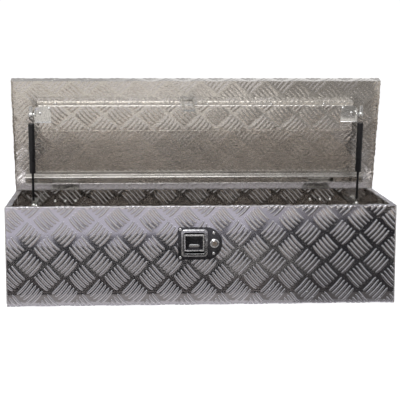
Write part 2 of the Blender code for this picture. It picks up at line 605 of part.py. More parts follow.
# ---------------------------------------------------------------- latch
def shaft_bore(axis, radius):
    """A bore along X for the paddle pin or the pawl shaft."""
    return rod(radius + GAP, "X", (0, *axis), BORE_START, BORE_END, 12)


def make_latch_face(mats):
    front = FRONT - GAP
    face = front - LATCH_PLATE
    middle, radius = (LATCH_BOTTOM + LATCH_TOP) / 2, (LATCH_TOP - LATCH_BOTTOM) / 2
    left = LATCH_LEFT + LATCH_CORNER
    outline = arc((LATCH_RIGHT - radius, middle), radius, -90, 90, 18)
    outline += arc((left, LATCH_TOP - LATCH_CORNER), LATCH_CORNER, 90, 180, 4)
    outline += arc((left, LATCH_BOTTOM + LATCH_CORNER), LATCH_CORNER, 180, 270, 4)
    plate = add_object("latch_plate", prism(outline, "Y", face, front), mats["dark"])
    combine(plate, box((DISH["left"] - GAP, face - CUT, DISH["bottom"] - GAP),
                       (DISH["right"] + GAP, front + CUT, DISH["top"] + GAP)))
    combine(plate, lock_hole(front))
    combine(plate, holes([(x, front, z) for x, z in LATCH_RIVETS], "Y", RIVET_HOLE, CUT))

    ring_back, ring_front = face - GAP, face - GAP - FRAME_HEIGHT
    outline = rounded_rectangle(*FRAME_OUTER, FRAME_CORNERS["outer"], 5)
    ring = prism(outline, "Y", ring_front, ring_back)
    front_edges = [e for e in ring.edges if all(abs(v.co.y - ring_front) < 1e-6 for v in e.verts)]
    bmesh.ops.bevel(ring, geom=front_edges, offset=FRAME_BEVEL, segments=3, affect="EDGES", clamp_overlap=True)
    frame = add_object("latch_frame", ring, mats["chrome"], smooth=50)
    window = rounded_rectangle(*FRAME_INNER, FRAME_CORNERS["inner"], 4)
    combine(frame, prism(window, "Y", ring_front - CUT, ring_back + CUT))

    wall = DISH["wall"]
    block = box((DISH["left"], face, DISH["bottom"]), (DISH["right"], DISH["back"], DISH["top"]))
    dish = add_object("latch_dish", block, mats["dark"])
    combine(dish, box((DISH["left"] + wall, face - CUT, DISH["bottom"] + wall),
                      (DISH["right"] - wall, DISH["back"] - wall, DISH["top"] - wall)))
    combine(dish, shaft_bore(PADDLE_AXIS, PADDLE_PIN_RADIUS))
    grip = LATCH_PLATE + SHEET + 3 * GAP
    for i, (x, z) in enumerate(LATCH_RIVETS):
        head = rivets([(x, face - GAP, z)], "-Y", LATCH_RIVET_HEAD, LATCH_RIVET_SHANK, grip, 10)
        add_object(f"latch_rivet_{i + 1}", head, mats["chrome"], smooth=40)


def lever(start, end, axis, radius, low, high):
    """A flat link in the (y, z) plane with round ends, and its pin holes left solid."""
    way = math.degrees(math.atan2(end[1] - start[1], end[0] - start[0]))
    outline = arc(start, radius, way + 90, way + 270, 6) + arc(end, radius, way - 90, way + 90, 6)
    return prism(outline, axis, low, high)


def make_paddle(mats):
    y, z = PADDLE_AXIS
    axle = pivot("paddle_axis", (0, y, z), 0.0)
    front, back = PADDLE["front"], PADDLE["front"] + PADDLE["sheet"]
    low, high = PADDLE["bottom"], PADDLE["top"]
    outline = ([(back, low + 0.003), (back - 0.001, low), (front + 0.001, low),
                (front, low + 0.001), (front, high - 0.0015), (front + 0.0015, high)]
               + arc((y, z), PADDLE_HUB, 90, -90, 8) + [(back, z - PADDLE_HUB - 0.002)])
    paddle = add_object("paddle", prism(outline, "X", PADDLE["left"], PADDLE["right"]), mats["dark"], axle)
    left, right, rise = SPRING_WINDOW["left"], SPRING_WINDOW["right"], SPRING_WINDOW["rise"]
    combine(paddle, box((left, back + 0.0005, z - rise), (right, y + PADDLE_HUB + 0.002, z + rise)))
    combine(paddle, shaft_bore(PADDLE_AXIS, PADDLE_PIN_RADIUS))
    pin = rod(PADDLE_PIN_RADIUS, "X", (0, y, z), LINK_X - 0.0035, PADDLE["right"] + 0.0035, 12)
    add_object("paddle_pin", pin, mats["zinc"], axle, smooth=40)
    end = (y + CRANK_LENGTH, z)
    arm = lever((y, z), end, "X", CRANK_WIDTH, LINK_X + 0.0012, LINK_X + 0.0030)
    crank = add_object("paddle_crank", arm, mats["zinc"], axle)
    combine(crank, rod(LINK_PIN_RADIUS, "X", (0, *end), LINK_X - 0.0022, LINK_X + 0.0020, 10), "UNION")
    combine(crank, shaft_bore(PADDLE_AXIS, PADDLE_PIN_RADIUS))
    make_coil("paddle_spring", mats["spring"], (PADDLE_COIL_X, y, z), PADDLE_COIL)


def make_coil(name, mat, start, size):
    """A coil about the X axis."""
    steps = 10
    radius = size["radius"]
    curve = bpy.data.curves.new(name, "CURVE")
    curve.dimensions = "3D"
    curve.bevel_depth = size["wire"]
    curve.bevel_resolution = 0
    curve.use_fill_caps = True
    spline = curve.splines.new("POLY")
    spline.points.add(size["turns"] * steps)
    for i, point in enumerate(spline.points):
        turn = 2 * math.pi * i / steps
        point.co = (size["pitch"] * i / steps, radius * math.cos(turn), radius * math.sin(turn), 1.0)
    curve.materials.append(mat)
    coil = bpy.data.objects.new(name, curve)
    coil.location = start
    bpy.context.scene.collection.objects.link(coil)


def make_release(mats):
    """The link from the paddle's crank down to the pawl's lever, then the pawl on its shaft."""
    crank_end = (PADDLE_AXIS[0] + CRANK_LENGTH, PADDLE_AXIS[1])
    lever_end = (PAWL_AXIS[0] - PAWL_LEVER_LENGTH, PAWL_AXIS[1])
    guide = pivot("release_link_rest", (LINK_X, *crank_end), 0.0)
    strap = lever(crank_end, lever_end, "X", LINK_WIDTH, LINK_X - 0.0006, LINK_X + 0.0009)
    link = add_object("release_link", strap, mats["zinc"], guide)
    eyes = [rod(LINK_EYE_RADIUS, "X", (LINK_X, *end), -CUT, CUT, 14) for end in (crank_end, lever_end)]
    combine(link, join(*eyes))

    y, z = PAWL_AXIS
    axle = pivot("pawl_axis", (0, y, z), 0.0)
    half = CLAW_THICKNESS / 2
    tooth = prism([(y + u, z + v) for u, v in PAWL_OUTLINE], "X", LOOP_X - half, LOOP_X + half)
    pawl = add_object("pawl", tooth, mats["zinc"], axle)
    combine(pawl, shaft_bore(PAWL_AXIS, PAWL_SHAFT_RADIUS))
    shaft = rod(PAWL_SHAFT_RADIUS, "X", (0, y, z), LINK_X - 0.005, LOOP_X + HOUSING_HALF + 0.002, 12)
    add_object("pawl_shaft", shaft, mats["zinc"], axle, smooth=40)
    plate = lever((y, z), lever_end, "X", PAWL_LEVER_WIDTH, LINK_X - 0.0030, LINK_X - 0.0010)
    arm = add_object("pawl_lever", plate, mats["zinc"], axle)
    combine(arm, rod(LINK_PIN_RADIUS, "X", (0, *lever_end), LINK_X - 0.0020, LINK_X + 0.0020, 10), "UNION")
    combine(arm, shaft_bore(PAWL_AXIS, PAWL_SHAFT_RADIUS))


def make_claw(mats):
    """The hook that swings over the striker's bar, modelled shut and stored open."""
    y, z = CLAW_AXIS
    axle = pivot("claw_axis", (0, y, z), CLAW_OPEN)
    half = CLAW_THICKNESS / 2
    hook = prism([(y + u, z + v) for u, v in CLAW_OUTLINE], "X", LOOP_X - half, LOOP_X + half)
    claw = add_object("claw", hook, mats["zinc"], axle)
    combine(claw, rod(CLAW_PIN_RADIUS + GAP, "X", (LOOP_X, y, z), -HOUSING_HALF, HOUSING_HALF, 14))
    reach = HOUSING_HALF + 0.0015
    pin = rod(CLAW_PIN_RADIUS, "X", (LOOP_X, y, z), -reach, reach, 14)
    add_object("claw_pin", pin, mats["zinc"], smooth=40)
    start = LOOP_X + half + GAP + CLAW_COIL["wire"]
    make_coil("claw_spring", mats["spring"], (start, y, z), CLAW_COIL)

    channel = prism(HOUSING_OUTLINE, "X", LOOP_X - HOUSING_HALF, LOOP_X + HOUSING_HALF)
    housing = add_object("latch_housing", channel, mats["zinc"])
    inner = HOUSING_HALF - HOUSING_SHEET
    lows, highs = [[end(point[i] for point in HOUSING_OUTLINE) for i in (0, 1)] for end in (min, max)]
    combine(housing, box((LOOP_X - inner, lows[0] + HOUSING_SHEET, lows[1] - CUT),
                         (LOOP_X + inner, highs[0] + CUT, highs[1] + CUT)))
    through = HOUSING_HALF + CUT
    combine(housing, rod(CLAW_PIN_RADIUS + GAP, "X", (LOOP_X, y, z), -through, through, 14))
    combine(housing, shaft_bore(PAWL_AXIS, PAWL_SHAFT_RADIUS))


def make_lock(mats):
    x, z = LOCK_CENTRE
    face = FRONT - 2 * GAP - LATCH_PLATE
    centre = (x, face, z)
    bore = LOCK_PLUG_RADIUS + GAP
    barrel = [(bore, LOCK_HEAD), (LOCK_HEAD_RADIUS - LOCK_HEAD_BEVEL, LOCK_HEAD),
              (LOCK_HEAD_RADIUS, LOCK_HEAD_EDGE),
              (LOCK_HEAD_RADIUS, 0.0), (LOCK_BARREL_RADIUS, 0.0), (LOCK_BARREL_RADIUS, -LOCK_LENGTH),
              (bore, -LOCK_LENGTH)]
    add_object("lock_barrel", along(turned(barrel, 16, ring=True), "-Y", centre), mats["chrome"], smooth=40)
    nut_back = FRONT + SHEET + GAP - face
    nut_end = -nut_back - LOCK_NUT_THICKNESS
    nut = [(LOCK_BARREL_RADIUS + GAP, -nut_back), (LOCK_NUT_RADIUS, -nut_back), (LOCK_NUT_RADIUS, nut_end),
           (LOCK_BARREL_RADIUS + GAP, nut_end)]
    add_object("lock_nut", along(turned(nut, 6 * 3, ring=True), "-Y", centre), mats["zinc"])
    axle = pivot("lock_axis", centre, 0.0)
    plug_face, plug_end = LOCK_HEAD - LOCK_PLUG_RECESS, LOCK_LENGTH + LOCK_PLUG_TAIL
    profile = [(0, plug_face), (LOCK_PLUG_RADIUS, plug_face), (LOCK_PLUG_RADIUS, -plug_end), (0, -plug_end)]
    cylinder = along(turned(profile, 16), "-Y", (0, 0, 0))
    plug = add_object("lock_plug", cylinder, mats["chrome"], axle, True, 40)
    half, rise = KEY_SLOT["half"], KEY_SLOT["rise"]
    combine(plug, box((-half, -KEY_SLOT["deep"], -rise), (half, plug_face, rise)), local=True)
    cam_near = plug_end + GAP
    cam = (arc((0, 0), LOCK_CAM["hub"], 0, 180, 8)
           + arc((0, -LOCK_CAM["length"]), LOCK_CAM["tip"], 180, 360, 6))
    add_object("lock_cam", prism(cam, "Y", cam_near, cam_near + LOCK_CAM["sheet"]), mats["zinc"], axle, True)


# ---------------------------------------------------------------- assembly
def main():
    clear_scene()
    mats = palette()
    lid = pivot("lid_axis", (0, HINGE_Y, HINGE_Z), -LID_OPEN)
    make_box(mats)
    make_hinges(mats, lid)
    make_lid(mats, lid)
    make_striker(mats, lid)
    make_struts(mats, lid)
    make_latch_face(mats)
    make_paddle(mats)
    make_release(mats)
    make_claw(mats)
    make_lock(mats)


main()
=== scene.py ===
import json
import math

import bmesh
import bpy
import numpy as np
from mathutils import Matrix, Vector, geometry

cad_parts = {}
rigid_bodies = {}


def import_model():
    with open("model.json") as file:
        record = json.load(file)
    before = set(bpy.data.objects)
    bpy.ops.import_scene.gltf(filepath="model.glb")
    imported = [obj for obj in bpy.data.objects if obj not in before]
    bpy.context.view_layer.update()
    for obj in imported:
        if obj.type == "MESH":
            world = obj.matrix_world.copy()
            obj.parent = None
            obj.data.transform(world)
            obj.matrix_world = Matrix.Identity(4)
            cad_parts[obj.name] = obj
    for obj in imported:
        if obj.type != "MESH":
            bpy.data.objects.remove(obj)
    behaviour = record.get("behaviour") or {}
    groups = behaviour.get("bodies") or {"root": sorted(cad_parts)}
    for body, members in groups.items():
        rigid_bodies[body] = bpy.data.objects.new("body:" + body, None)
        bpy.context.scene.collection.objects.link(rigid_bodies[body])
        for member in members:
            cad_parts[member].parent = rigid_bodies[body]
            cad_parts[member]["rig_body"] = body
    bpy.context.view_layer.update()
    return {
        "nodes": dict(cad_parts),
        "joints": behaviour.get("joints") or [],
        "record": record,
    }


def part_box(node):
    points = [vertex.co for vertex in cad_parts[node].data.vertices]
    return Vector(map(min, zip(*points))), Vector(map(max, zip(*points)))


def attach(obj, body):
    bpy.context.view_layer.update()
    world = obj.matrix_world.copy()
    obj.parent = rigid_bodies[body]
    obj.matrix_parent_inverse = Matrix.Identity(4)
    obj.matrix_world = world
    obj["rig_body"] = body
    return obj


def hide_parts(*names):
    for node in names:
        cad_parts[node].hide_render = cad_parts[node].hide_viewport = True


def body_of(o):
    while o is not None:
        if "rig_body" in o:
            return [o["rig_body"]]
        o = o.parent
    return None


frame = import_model()
JOINTS = {joint["name"]: joint for joint in frame["joints"]}

# ---------------------------------------------------------------- sizes, in metres
SHEET = 0.002
STIFFENER_SHEET = 0.0015
FOLD_RADIUS = 0.009
RIM_RADIUS = 0.003
RIM_WIDTH = 0.015
LID_REAR_DROP = 0.017
STIFFENER_LIP = 0.012
STIFFENER_END_SLOPE = 0.006
STIFFENER_RIVETS_X = (-0.385, -0.185, 0.030, 0.205, 0.350)

# The tread pattern: groups of bars on a diamond grid, each group turned against its neighbours.
PITCH_X, PITCH_Y = 0.0891, 0.0753
BAR_LENGTH, BAR_WIDTH, BAR_SPACING = 0.0490, 0.0076, 0.0106
BAR_ANGLE = math.radians(48)
BAR_BOW = 0.0022
BARS_EACH_SIDE = 2
SHEET_RISE, SHEET_DENT = 0.0012, 0.0006
LID_DENT = 0.0004
STIFFENER_RISE, STIFFENER_DENT = 0.0006, 0.0004
SWELL = 0.00050

# Where one group's centre falls on each sheet: along X (or Y on the ends), and up or along the sheet.
BODY_GROUP_X, BODY_GROUP_Z = 0.0050, 0.0369
END_GROUP = (0.021, 0.012)
LID_GROUP = (0.031, 0.040)
STIFFENER_GROUP = (0.010, 0.030)

# The stage: the floor lies just under the box, and the reflected cards just over or under the floor line.
FLOOR_Z, SURROUND_Z, CARD_Z, LOUVRE_Z = -0.0006, -0.0003, 0.0005, 0.001

# ---------------------------------------------------------------- places read from the frame
HINGE = Vector(JOINTS["lid_hinge"]["pos_m"])
SHUT_ANGLE = math.radians(JOINTS["lid_hinge"]["range_deg"][1])
SHUT = Matrix.Translation(HINGE) @ Matrix.Rotation(SHUT_ANGLE, 4, "X") @ Matrix.Translation(-HINGE)
OPEN = SHUT.inverted()


def shut_box(node):
    """A lid node's lowest and highest corners with the lid shut."""
    points = np.array([SHUT @ vert.co for vert in frame["nodes"][node].data.vertices])
    return Vector(points.min(0)), Vector(points.max(0))


# ---------------------------------------------------------------- materials
class Nodes:
    """Shorthand for building a material's node tree."""

    def __init__(self, name):
        self.material = bpy.data.materials.new(name)
        self.material.use_nodes = True
        self.tree = self.material.node_tree
        self.shader = self.tree.nodes["Principled BSDF"]
        self.place = self.add("ShaderNodeTexCoord").outputs["Object"]

    def add(self, kind, **settings):
        node = self.tree.nodes.new(kind)
        for key, value in settings.items():
            setattr(node, key, value)
        return node

    def link(self, source, target):
        self.tree.links.new(source, target)

    def noise(self, scale, detail=4.0, stretch=(1, 1, 1), roughness=0.55, distortion=0.0):
        mapping = self.add("ShaderNodeMapping")
        mapping.inputs["Scale"].default_value = stretch
        self.link(self.place, mapping.inputs["Vector"])
        texture = self.add("ShaderNodeTexNoise")
        texture.inputs["Scale"].default_value = scale
        texture.inputs["Detail"].default_value = detail
        texture.inputs["Roughness"].default_value = roughness
        texture.inputs["Distortion"].default_value = distortion
        self.link(mapping.outputs["Vector"], texture.inputs["Vector"])
        return texture.outputs["Fac"]

    def span(self, source, low, high, start=0.3, end=0.7):
        node = self.add("ShaderNodeMapRange")
        limits = {"From Min": start, "From Max": end, "To Min": low, "To Max": high}
        for key, value in limits.items():
            node.inputs[key].default_value = value
        self.link(source, node.inputs["Value"])
        return node.outputs["Result"]

    def maths(self, operation, first, second):
        node = self.add("ShaderNodeMath", operation=operation)
        for socket, value in zip(node.inputs, (first, second)):
            if isinstance(value, (int, float)):
                socket.default_value = value
            else:
                self.link(value, socket)
        return node.outputs["Value"]

    def blend(self, factor, first, second):
        node = self.add("ShaderNodeMix", data_type="RGBA")
        self.link(factor, node.inputs["Factor"])
        for socket, value in ((node.inputs["A"], first), (node.inputs["B"], second)):
            if isinstance(value, tuple):
                socket.default_value = (*value, 1.0)
            else:
                self.link(value, socket)
        return node.outputs["Result"]

    def bump(self, heights, distance):
        previous = None
        for height, strength in heights:
            node = self.add("ShaderNodeBump")
            node.inputs["Strength"].default_value = strength
            node.inputs["Distance"].default_value = distance
            self.link(height, node.inputs["Height"])
            if previous:
                self.link(previous, node.inputs["Normal"])
            previous = node.outputs["Normal"]
        self.link(previous, self.shader.inputs["Normal"])

    def attribute(self, name):
        return self.add("ShaderNodeAttribute", attribute_name=name).outputs["Fac"]


def scaled(colour, share):
    return tuple(c * share for c in colour)


def metal(name, light, dark, smooth, rough, grain=(1, 1, 1), scratch=0.15, spots=0.0):
    """Bare or plated metal: cloudy tone, fine grain along an axis, hairline scratches, specks of oxide."""
    n = Nodes(name)
    n.shader.inputs["Metallic"].default_value = 1.0
    cloud = n.noise(9.0, 5.0)
    fine = n.noise(260.0, 3.0, grain)
    hair = n.noise(55.0, 2.0, (1.0, 14.0, 3.0), 0.6, 1.2)
    tone = n.blend(n.span(cloud, 0.0, 1.0), dark, light)
    lines = n.span(hair, 0.0, scratch, 0.58, 0.66)
    tone = n.blend(lines, tone, tuple(min(1.0, c * 1.25) for c in light))
    if spots:
        speck = n.span(n.noise(420.0, 2.0), 0.0, spots, 0.66, 0.78)
        tone = n.blend(speck, tone, scaled(dark, 0.35))
    n.link(tone, n.shader.inputs["Base Color"])
    worn = n.maths("ADD", n.span(cloud, smooth, rough), n.span(fine, -0.03, 0.04))
    n.link(n.maths("ADD", worn, lines), n.shader.inputs["Roughness"])
    n.bump(((fine, 0.10), (cloud, 0.20)), 0.0004)
    return n.material


def tread_metal(name, light, dark, ground_gloss, bar_gloss, bar_tone, inside_painted_warm_light):
    """Rolled tread plate: a bright ground with mill lines, bars scuffed duller on top, and a plain inside with
    a painted warm cast of light.
    """
    n = Nodes(name)
    n.shader.inputs["Metallic"].default_value = 1.0
    raised = n.span(n.attribute("lift"), 0.0, 1.0, 0.55, 0.95)
    cloud = n.noise(6.0, 5.0)
    mill = n.noise(180.0, 3.0, (0.15, 1.0, 1.0))
    fine = n.noise(700.0, 2.0)
    hair = n.span(n.noise(40.0, 2.0, (1.0, 10.0, 10.0), 0.6, 1.5), 0.0, 0.08, 0.60, 0.66)
    ground = n.blend(n.span(cloud, 0.0, 1.0), dark, light)
    scuffed = n.blend(n.span(fine, 0.0, 1.0), scaled(dark, bar_tone), scaled(light, bar_tone))
    tone = n.blend(raised, ground, scuffed)
    speck = n.span(n.noise(500.0, 2.0), 0.0, 0.30, 0.68, 0.80)
    tone = n.blend(speck, tone, scaled(dark, 0.4))
    # Three quarters of the inside's colour is a plain tone without the bars' scuff or the specks, times the
    # tint: a painted warm cast of light standing in for warm light inside the box.
    plain_inside_painted_warm = n.blend(n.span(cloud, 0.0, 1.0), tuple(c * t for c, t in zip(dark, inside_painted_warm_light)),
                         tuple(c * t for c, t in zip(light, inside_painted_warm_light)))
    tone = n.blend(n.maths("MULTIPLY", n.attribute("inside"), 0.75), tone, plain_inside_painted_warm)
    n.link(tone, n.shader.inputs["Base Color"])
    smoothness = n.span(cloud, ground_gloss - 0.01, ground_gloss + 0.02)
    worn = n.maths("ADD", smoothness, n.span(mill, -0.01, 0.015))
    rubbed = n.maths("ADD", worn, n.span(raised, 0.0, bar_gloss - ground_gloss, 0.0, 1.0))
    n.link(n.maths("ADD", rubbed, hair), n.shader.inputs["Roughness"])
    n.bump(((mill, 0.015), (fine, 0.012), (cloud, 0.08)), 0.0004)
    return n.material


def enamel(name, colour):
    """Gloss black lacquer with faint orange peel, dust and handling marks."""
    n = Nodes(name)
    cloud = n.noise(30.0, 4.0)
    dust = n.span(n.noise(300.0, 3.0), 0.0, 0.5, 0.62, 0.80)
    tone = n.blend(dust, colour, tuple(c + 0.012 for c in colour))
    n.link(tone, n.shader.inputs["Base Color"])
    n.link(n.maths("ADD", n.span(cloud, 0.22, 0.34), dust), n.shader.inputs["Roughness"])
    n.shader.inputs["Specular IOR Level"].default_value = 0.35
    n.bump(((n.noise(160.0, 2.0), 0.06),), 0.0003)
    return n.material


def floor_material():
    n = Nodes("studio_floor")
    n.shader.inputs["Roughness"].default_value = 0.75
    n.shader.inputs["Emission Color"].default_value = (1.0, 1.0, 1.0, 1.0)
    n.shader.inputs["Emission Strength"].default_value = 0.64
    cloud = n.noise(1.5, 3.0)
    n.link(n.blend(cloud, (0.93, 0.93, 0.93), (0.96, 0.96, 0.96)), n.shader.inputs["Base Color"])
    return n.material


def card_material(name, colour):
    """A studio card that shows one even tone in the metal, whatever light falls on it."""
    n = Nodes(name)
    n.shader.inputs["Roughness"].default_value = 1.0
    n.shader.inputs["Specular IOR Level"].default_value = 0.0
    n.shader.inputs["Base Color"].default_value = (0.0, 0.0, 0.0, 1.0)
    n.shader.inputs["Emission Color"].default_value = (*colour, 1.0)
    n.shader.inputs["Emission Strength"].default_value = 1.0
    return n.material


MATERIALS = {
    # The box plate's inside tint (1.07, 1.03, 0.92) is a painted warm cast of light; the lid's is neutral.
    "tread_plate": tread_metal(
        "tread_plate_metal", (0.72, 0.71, 0.74), (0.64, 0.63, 0.66),
        ground_gloss=0.08, bar_gloss=0.18, bar_tone=1.10, inside_painted_warm_light=(1.07, 1.03, 0.92)),
    "lid_tread": tread_metal(
        "lid_tread_metal", (0.90, 0.87, 0.83), (0.83, 0.80, 0.75),
        ground_gloss=0.23, bar_gloss=0.26, bar_tone=0.97, inside_painted_warm_light=(1.0, 1.0, 1.0)),
    "plain_sheet": metal("plain_sheet_metal", (0.74, 0.72, 0.69), (0.62, 0.60, 0.57), 0.20, 0.30,
                         grain=(0.1, 1, 1)),
    "zinc_steel": metal("zinc_plate", (0.78, 0.78, 0.76), (0.64, 0.64, 0.61), 0.18, 0.30, spots=0.3),
    "bright_zinc": metal("bright_zinc_plate", (0.96, 0.96, 0.95), (0.84, 0.84, 0.84), 0.10, 0.20, spots=0.2),
    "chrome": metal("bright_chrome", (0.86, 0.86, 0.86), (0.78, 0.78, 0.79), 0.05, 0.11, scratch=0.08),
    "dark_stainless": metal("polished_stainless", (0.16, 0.16, 0.17), (0.09, 0.09, 0.10), 0.10, 0.18,
                            grain=(1, 1, 0.1), scratch=0.06),
    # A lighter steel than the dark panel, used only for the finger lip: a painted highlight on the lip.
    "lip_steel_painted_highlight": metal("lip_steel_painted_highlight", (0.52, 0.52, 0.52), (0.40, 0.40, 0.41), 0.08, 0.16,
                          grain=(0.1, 1, 1), scratch=0.06),
    "lock_brass": metal("worn_lock_plug", (0.42, 0.36, 0.31), (0.26, 0.22, 0.20), 0.18, 0.30),
    "black_enamel": enamel("black_lacquer", (0.012, 0.012, 0.013)),
    "spring_steel": metal("oiled_wire", (0.46, 0.46, 0.46), (0.34, 0.34, 0.35), 0.22, 0.34),
}


# ---------------------------------------------------------------- piece helpers
def add_piece(name, bm, body, slot, replaced=(), material=None, smooth=30, matrix=None):
    """Finish a mesh as a visible piece that rides on a body."""
    if matrix is not None:
        bm.transform(matrix)
    bmesh.ops.recalc_face_normals(bm, faces=bm.faces[:])
    mesh = bpy.data.meshes.new(name)
    bm.to_mesh(mesh)
    bm.free()
    mesh.shade_smooth()
    mesh.set_sharp_from_angle(angle=math.radians(smooth))
    piece = bpy.data.objects.new(name, mesh)
    bpy.context.scene.collection.objects.link(piece)
    mesh.materials.append(MATERIALS[material or slot])
    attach(piece, body)
    if replaced:
        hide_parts(*replaced)
    return piece


def refine(node, slot, bevel, body, material=None):
    """The CAD node's own shape with its edges broken, as pressed or cast metal has them."""
    bm = bmesh.new()
    bm.from_mesh(frame["nodes"][node].data)
    bmesh.ops.remove_doubles(bm, verts=bm.verts[:], dist=2e-6)
    bmesh.ops.dissolve_limit(bm, angle_limit=math.radians(1.0), verts=bm.verts[:], edges=bm.edges[:])
    piece = add_piece(f"{node}_fine", bm, body, slot, (node,), material, 40)
    break_edges(piece, bevel)


def lathe(profile, segments=48):
    """Turn (radius, height) points about Z; a point without radius closes that end."""
    bm = bmesh.new()
    rows = []
    for radius, height in profile:
        if radius < 1e-7:
            rows.append([bm.verts.new((0, 0, height))] * segments)
        else:
            turns = [2 * math.pi * i / segments for i in range(segments)]
            rows.append([bm.verts.new((radius * math.cos(a), radius * math.sin(a), height)) for a in turns])
    for upper, lower in zip(rows, rows[1:]):
        for i in range(segments):
            corners = list(dict.fromkeys((upper[i - 1], upper[i], lower[i], lower[i - 1])))
            if len(corners) > 2:
                bm.faces.new(corners)
    return bm


def aim(origin, direction):
    """A matrix that lays +Z along direction from origin."""
    return Matrix.Translation(origin) @ Vector(direction).to_track_quat("Z", "Y").to_matrix().to_4x4()


def round_arc(centre, radius, start, end, steps):
    turns = [math.radians(start + (end - start) * i / steps) for i in range(steps + 1)]
    return [(centre[0] + radius * math.cos(a), centre[1] + radius * math.sin(a)) for a in turns]


# ---------------------------------------------------------------- tread pattern
def bar_lines(centre, way):
    """Outline, shoulder and ridge of one blunt curved bar, as (point, height) loops and lines."""
    across = Vector((-way.y, way.x))
    stations = (-0.96, -0.82, -0.45, 0.0, 0.45, 0.82, 0.96)
    shoulder_share, shoulder_height = 0.60, 0.86
    tip, tip_share, tip_height = 0.95, 0.5, 0.70
    ridge_limit, outline_margin = 0.935, 0.035

    def at(t, side, share):
        """A point of the bar, drawn inside its diamond so that groups never touch."""
        bow = across * BAR_BOW * (1 - t * t)
        half = BAR_WIDTH / 2 * (1 - abs(t) ** 5) ** 0.5
        point = centre + way * (t * BAR_LENGTH / 2) + bow + across * half * side * share
        reach = abs(point.x) / (PITCH_X / 2) + abs(point.y) / (PITCH_Y / 2)
        return point * min(1.0, (ridge_limit + outline_margin * share) / reach)

    def height(t):
        return (1 - abs(t) ** 6) ** 0.5

    outline = ([(at(-1, 0, 1.0), 0.0)] + [(at(t, 1, 1.0), 0.0) for t in stations] + [(at(1, 0, 1.0), 0.0)]
               + [(at(t, -1, 1.0), 0.0) for t in reversed(stations)])
    inner = stations[1:-1]
    shoulder = ([(at(-tip, 0, tip_share), tip_height)]
                + [(at(t, 1, shoulder_share), shoulder_height * height(t)) for t in inner]
                + [(at(tip, 0, tip_share), tip_height)]
                + [(at(t, -1, shoulder_share), shoulder_height * height(t)) for t in reversed(inner)])
    ridge = [(at(t, 0, 0), height(t)) for t in inner]
    return outline, shoulder, ridge


def swell_at(point):
    """The plate's slow wave, fullest under the bars and least where four groups meet."""
    p, q = point.x / PITCH_X + point.y / PITCH_Y, point.x / PITCH_X - point.y / PITCH_Y
    return (math.cos(math.pi * p) * math.cos(math.pi * q)) ** 2


def make_tile():
    """One diamond of the pattern with its five bars: (u, v, height, swell) points and triangles."""
    points, heights, edges = [], [], []

    def add_run(run, closed):
        start = len(points)
        points.extend(Vector(point) for point, _ in run)
        heights.extend(height for _, height in run)
        edges.extend((start + i, start + i + 1) for i in range(len(run) - 1))
        if closed:
            edges.append((start + len(run) - 1, start))

    half_x, half_y = PITCH_X / 2, PITCH_Y / 2
    corners = [Vector(corner) for corner in ((half_x, 0), (0, half_y), (-half_x, 0), (0, -half_y))]
    steps = 6
    border = [(a.lerp(b, i / steps), 0.0) for a, b in zip(corners, corners[1:] + corners[:1])
              for i in range(steps)]
    add_run(border, True)
    way = Vector((math.cos(BAR_ANGLE), math.sin(BAR_ANGLE)))
    across = Vector((-way.y, way.x))
    for k in range(-BARS_EACH_SIDE, BARS_EACH_SIDE + 1):
        outline, shoulder, ridge = bar_lines(across * (k * BAR_SPACING - BAR_BOW / 2), way)
        add_run(outline, True)
        add_run(shoulder, True)
        add_run(ridge, False)
    found, _, faces, origins, _, _ = geometry.delaunay_2d_cdt(points, edges, [], 0, 1e-7)
    levels = [max((heights[o] for o in origin), default=0.0) for origin in origins]
    sliver = 1e-9
    solid = [tuple(face) for face in faces if geometry.area_tri(*(found[k].to_3d() for k in face)) > sliver]
    return [(p.x, p.y, level, swell_at(p)) for p, level in zip(found, levels)], solid


TILE_POINTS, TILE_FACES = make_tile()


def cells(span, start, pitch):
    """The numbers of the pattern cells that a span needs, with one to spare at each end."""
    return range(math.floor((span[0] - start) / pitch) - 1, math.ceil((span[1] - start) / pitch) + 2)


def flat_tread(u_range, v_range, phase):
    """Tiles over a rectangle of the unfolded sheet, trimmed to it."""
    bm = bmesh.new()
    waves = bm.verts.layers.float.new("swell")
    for i in cells(u_range, phase[0], PITCH_X):
        for j in cells(v_range, phase[1], PITCH_Y):
            for half, mirror in ((0.0, -1), (0.5, 1)):
                u0, v0 = phase[0] + (i + half) * PITCH_X, phase[1] + (j + half) * PITCH_Y
                if not (u_range[0] - PITCH_X / 2 < u0 < u_range[1] + PITCH_X / 2):
                    continue
                if not (v_range[0] - PITCH_Y / 2 < v0 < v_range[1] + PITCH_Y / 2):
                    continue
                verts = [bm.verts.new((u0 + mirror * u, v0 + v, height)) for u, v, height, _ in TILE_POINTS]
                for vert, point in zip(verts, TILE_POINTS):
                    vert[waves] = point[3]
                for face in TILE_FACES:
                    bm.faces.new([verts[k] for k in (face if mirror > 0 else reversed(face))])
    bmesh.ops.remove_doubles(bm, verts=bm.verts[:], dist=1e-5)
    trim(bm, (u_range[0], 0), (-1, 0))
    trim(bm, (u_range[1], 0), (1, 0))
    trim(bm, (0, v_range[0]), (0, -1))
    trim(bm, (0, v_range[1]), (0, 1))
    return bm


def trim(bm, point, outwards):
    bmesh.ops.bisect_plane(bm, geom=bm.verts[:] + bm.edges[:] + bm.faces[:], dist=1e-7,
                           plane_co=(*point, 0), plane_no=(*outwards, 0), clear_outer=True)


def score(bm, point, normal, near=None):
    """Cut along a line without removing anything; near keeps the cut to (centre, reach)."""
    geom = bm.verts[:] + bm.edges[:] + bm.faces[:]
    if near:
        centre, reach = near
        faces = [f for f in bm.faces if any((v.co.xy - centre).length < reach for v in f.verts)]
        geom = list({v for f in faces for v in f.verts}) + list({e for f in faces for e in f.edges}) + faces
    bmesh.ops.bisect_plane(bm, geom=geom, dist=1e-7, plane_co=(*point, 0), plane_no=(*normal, 0))


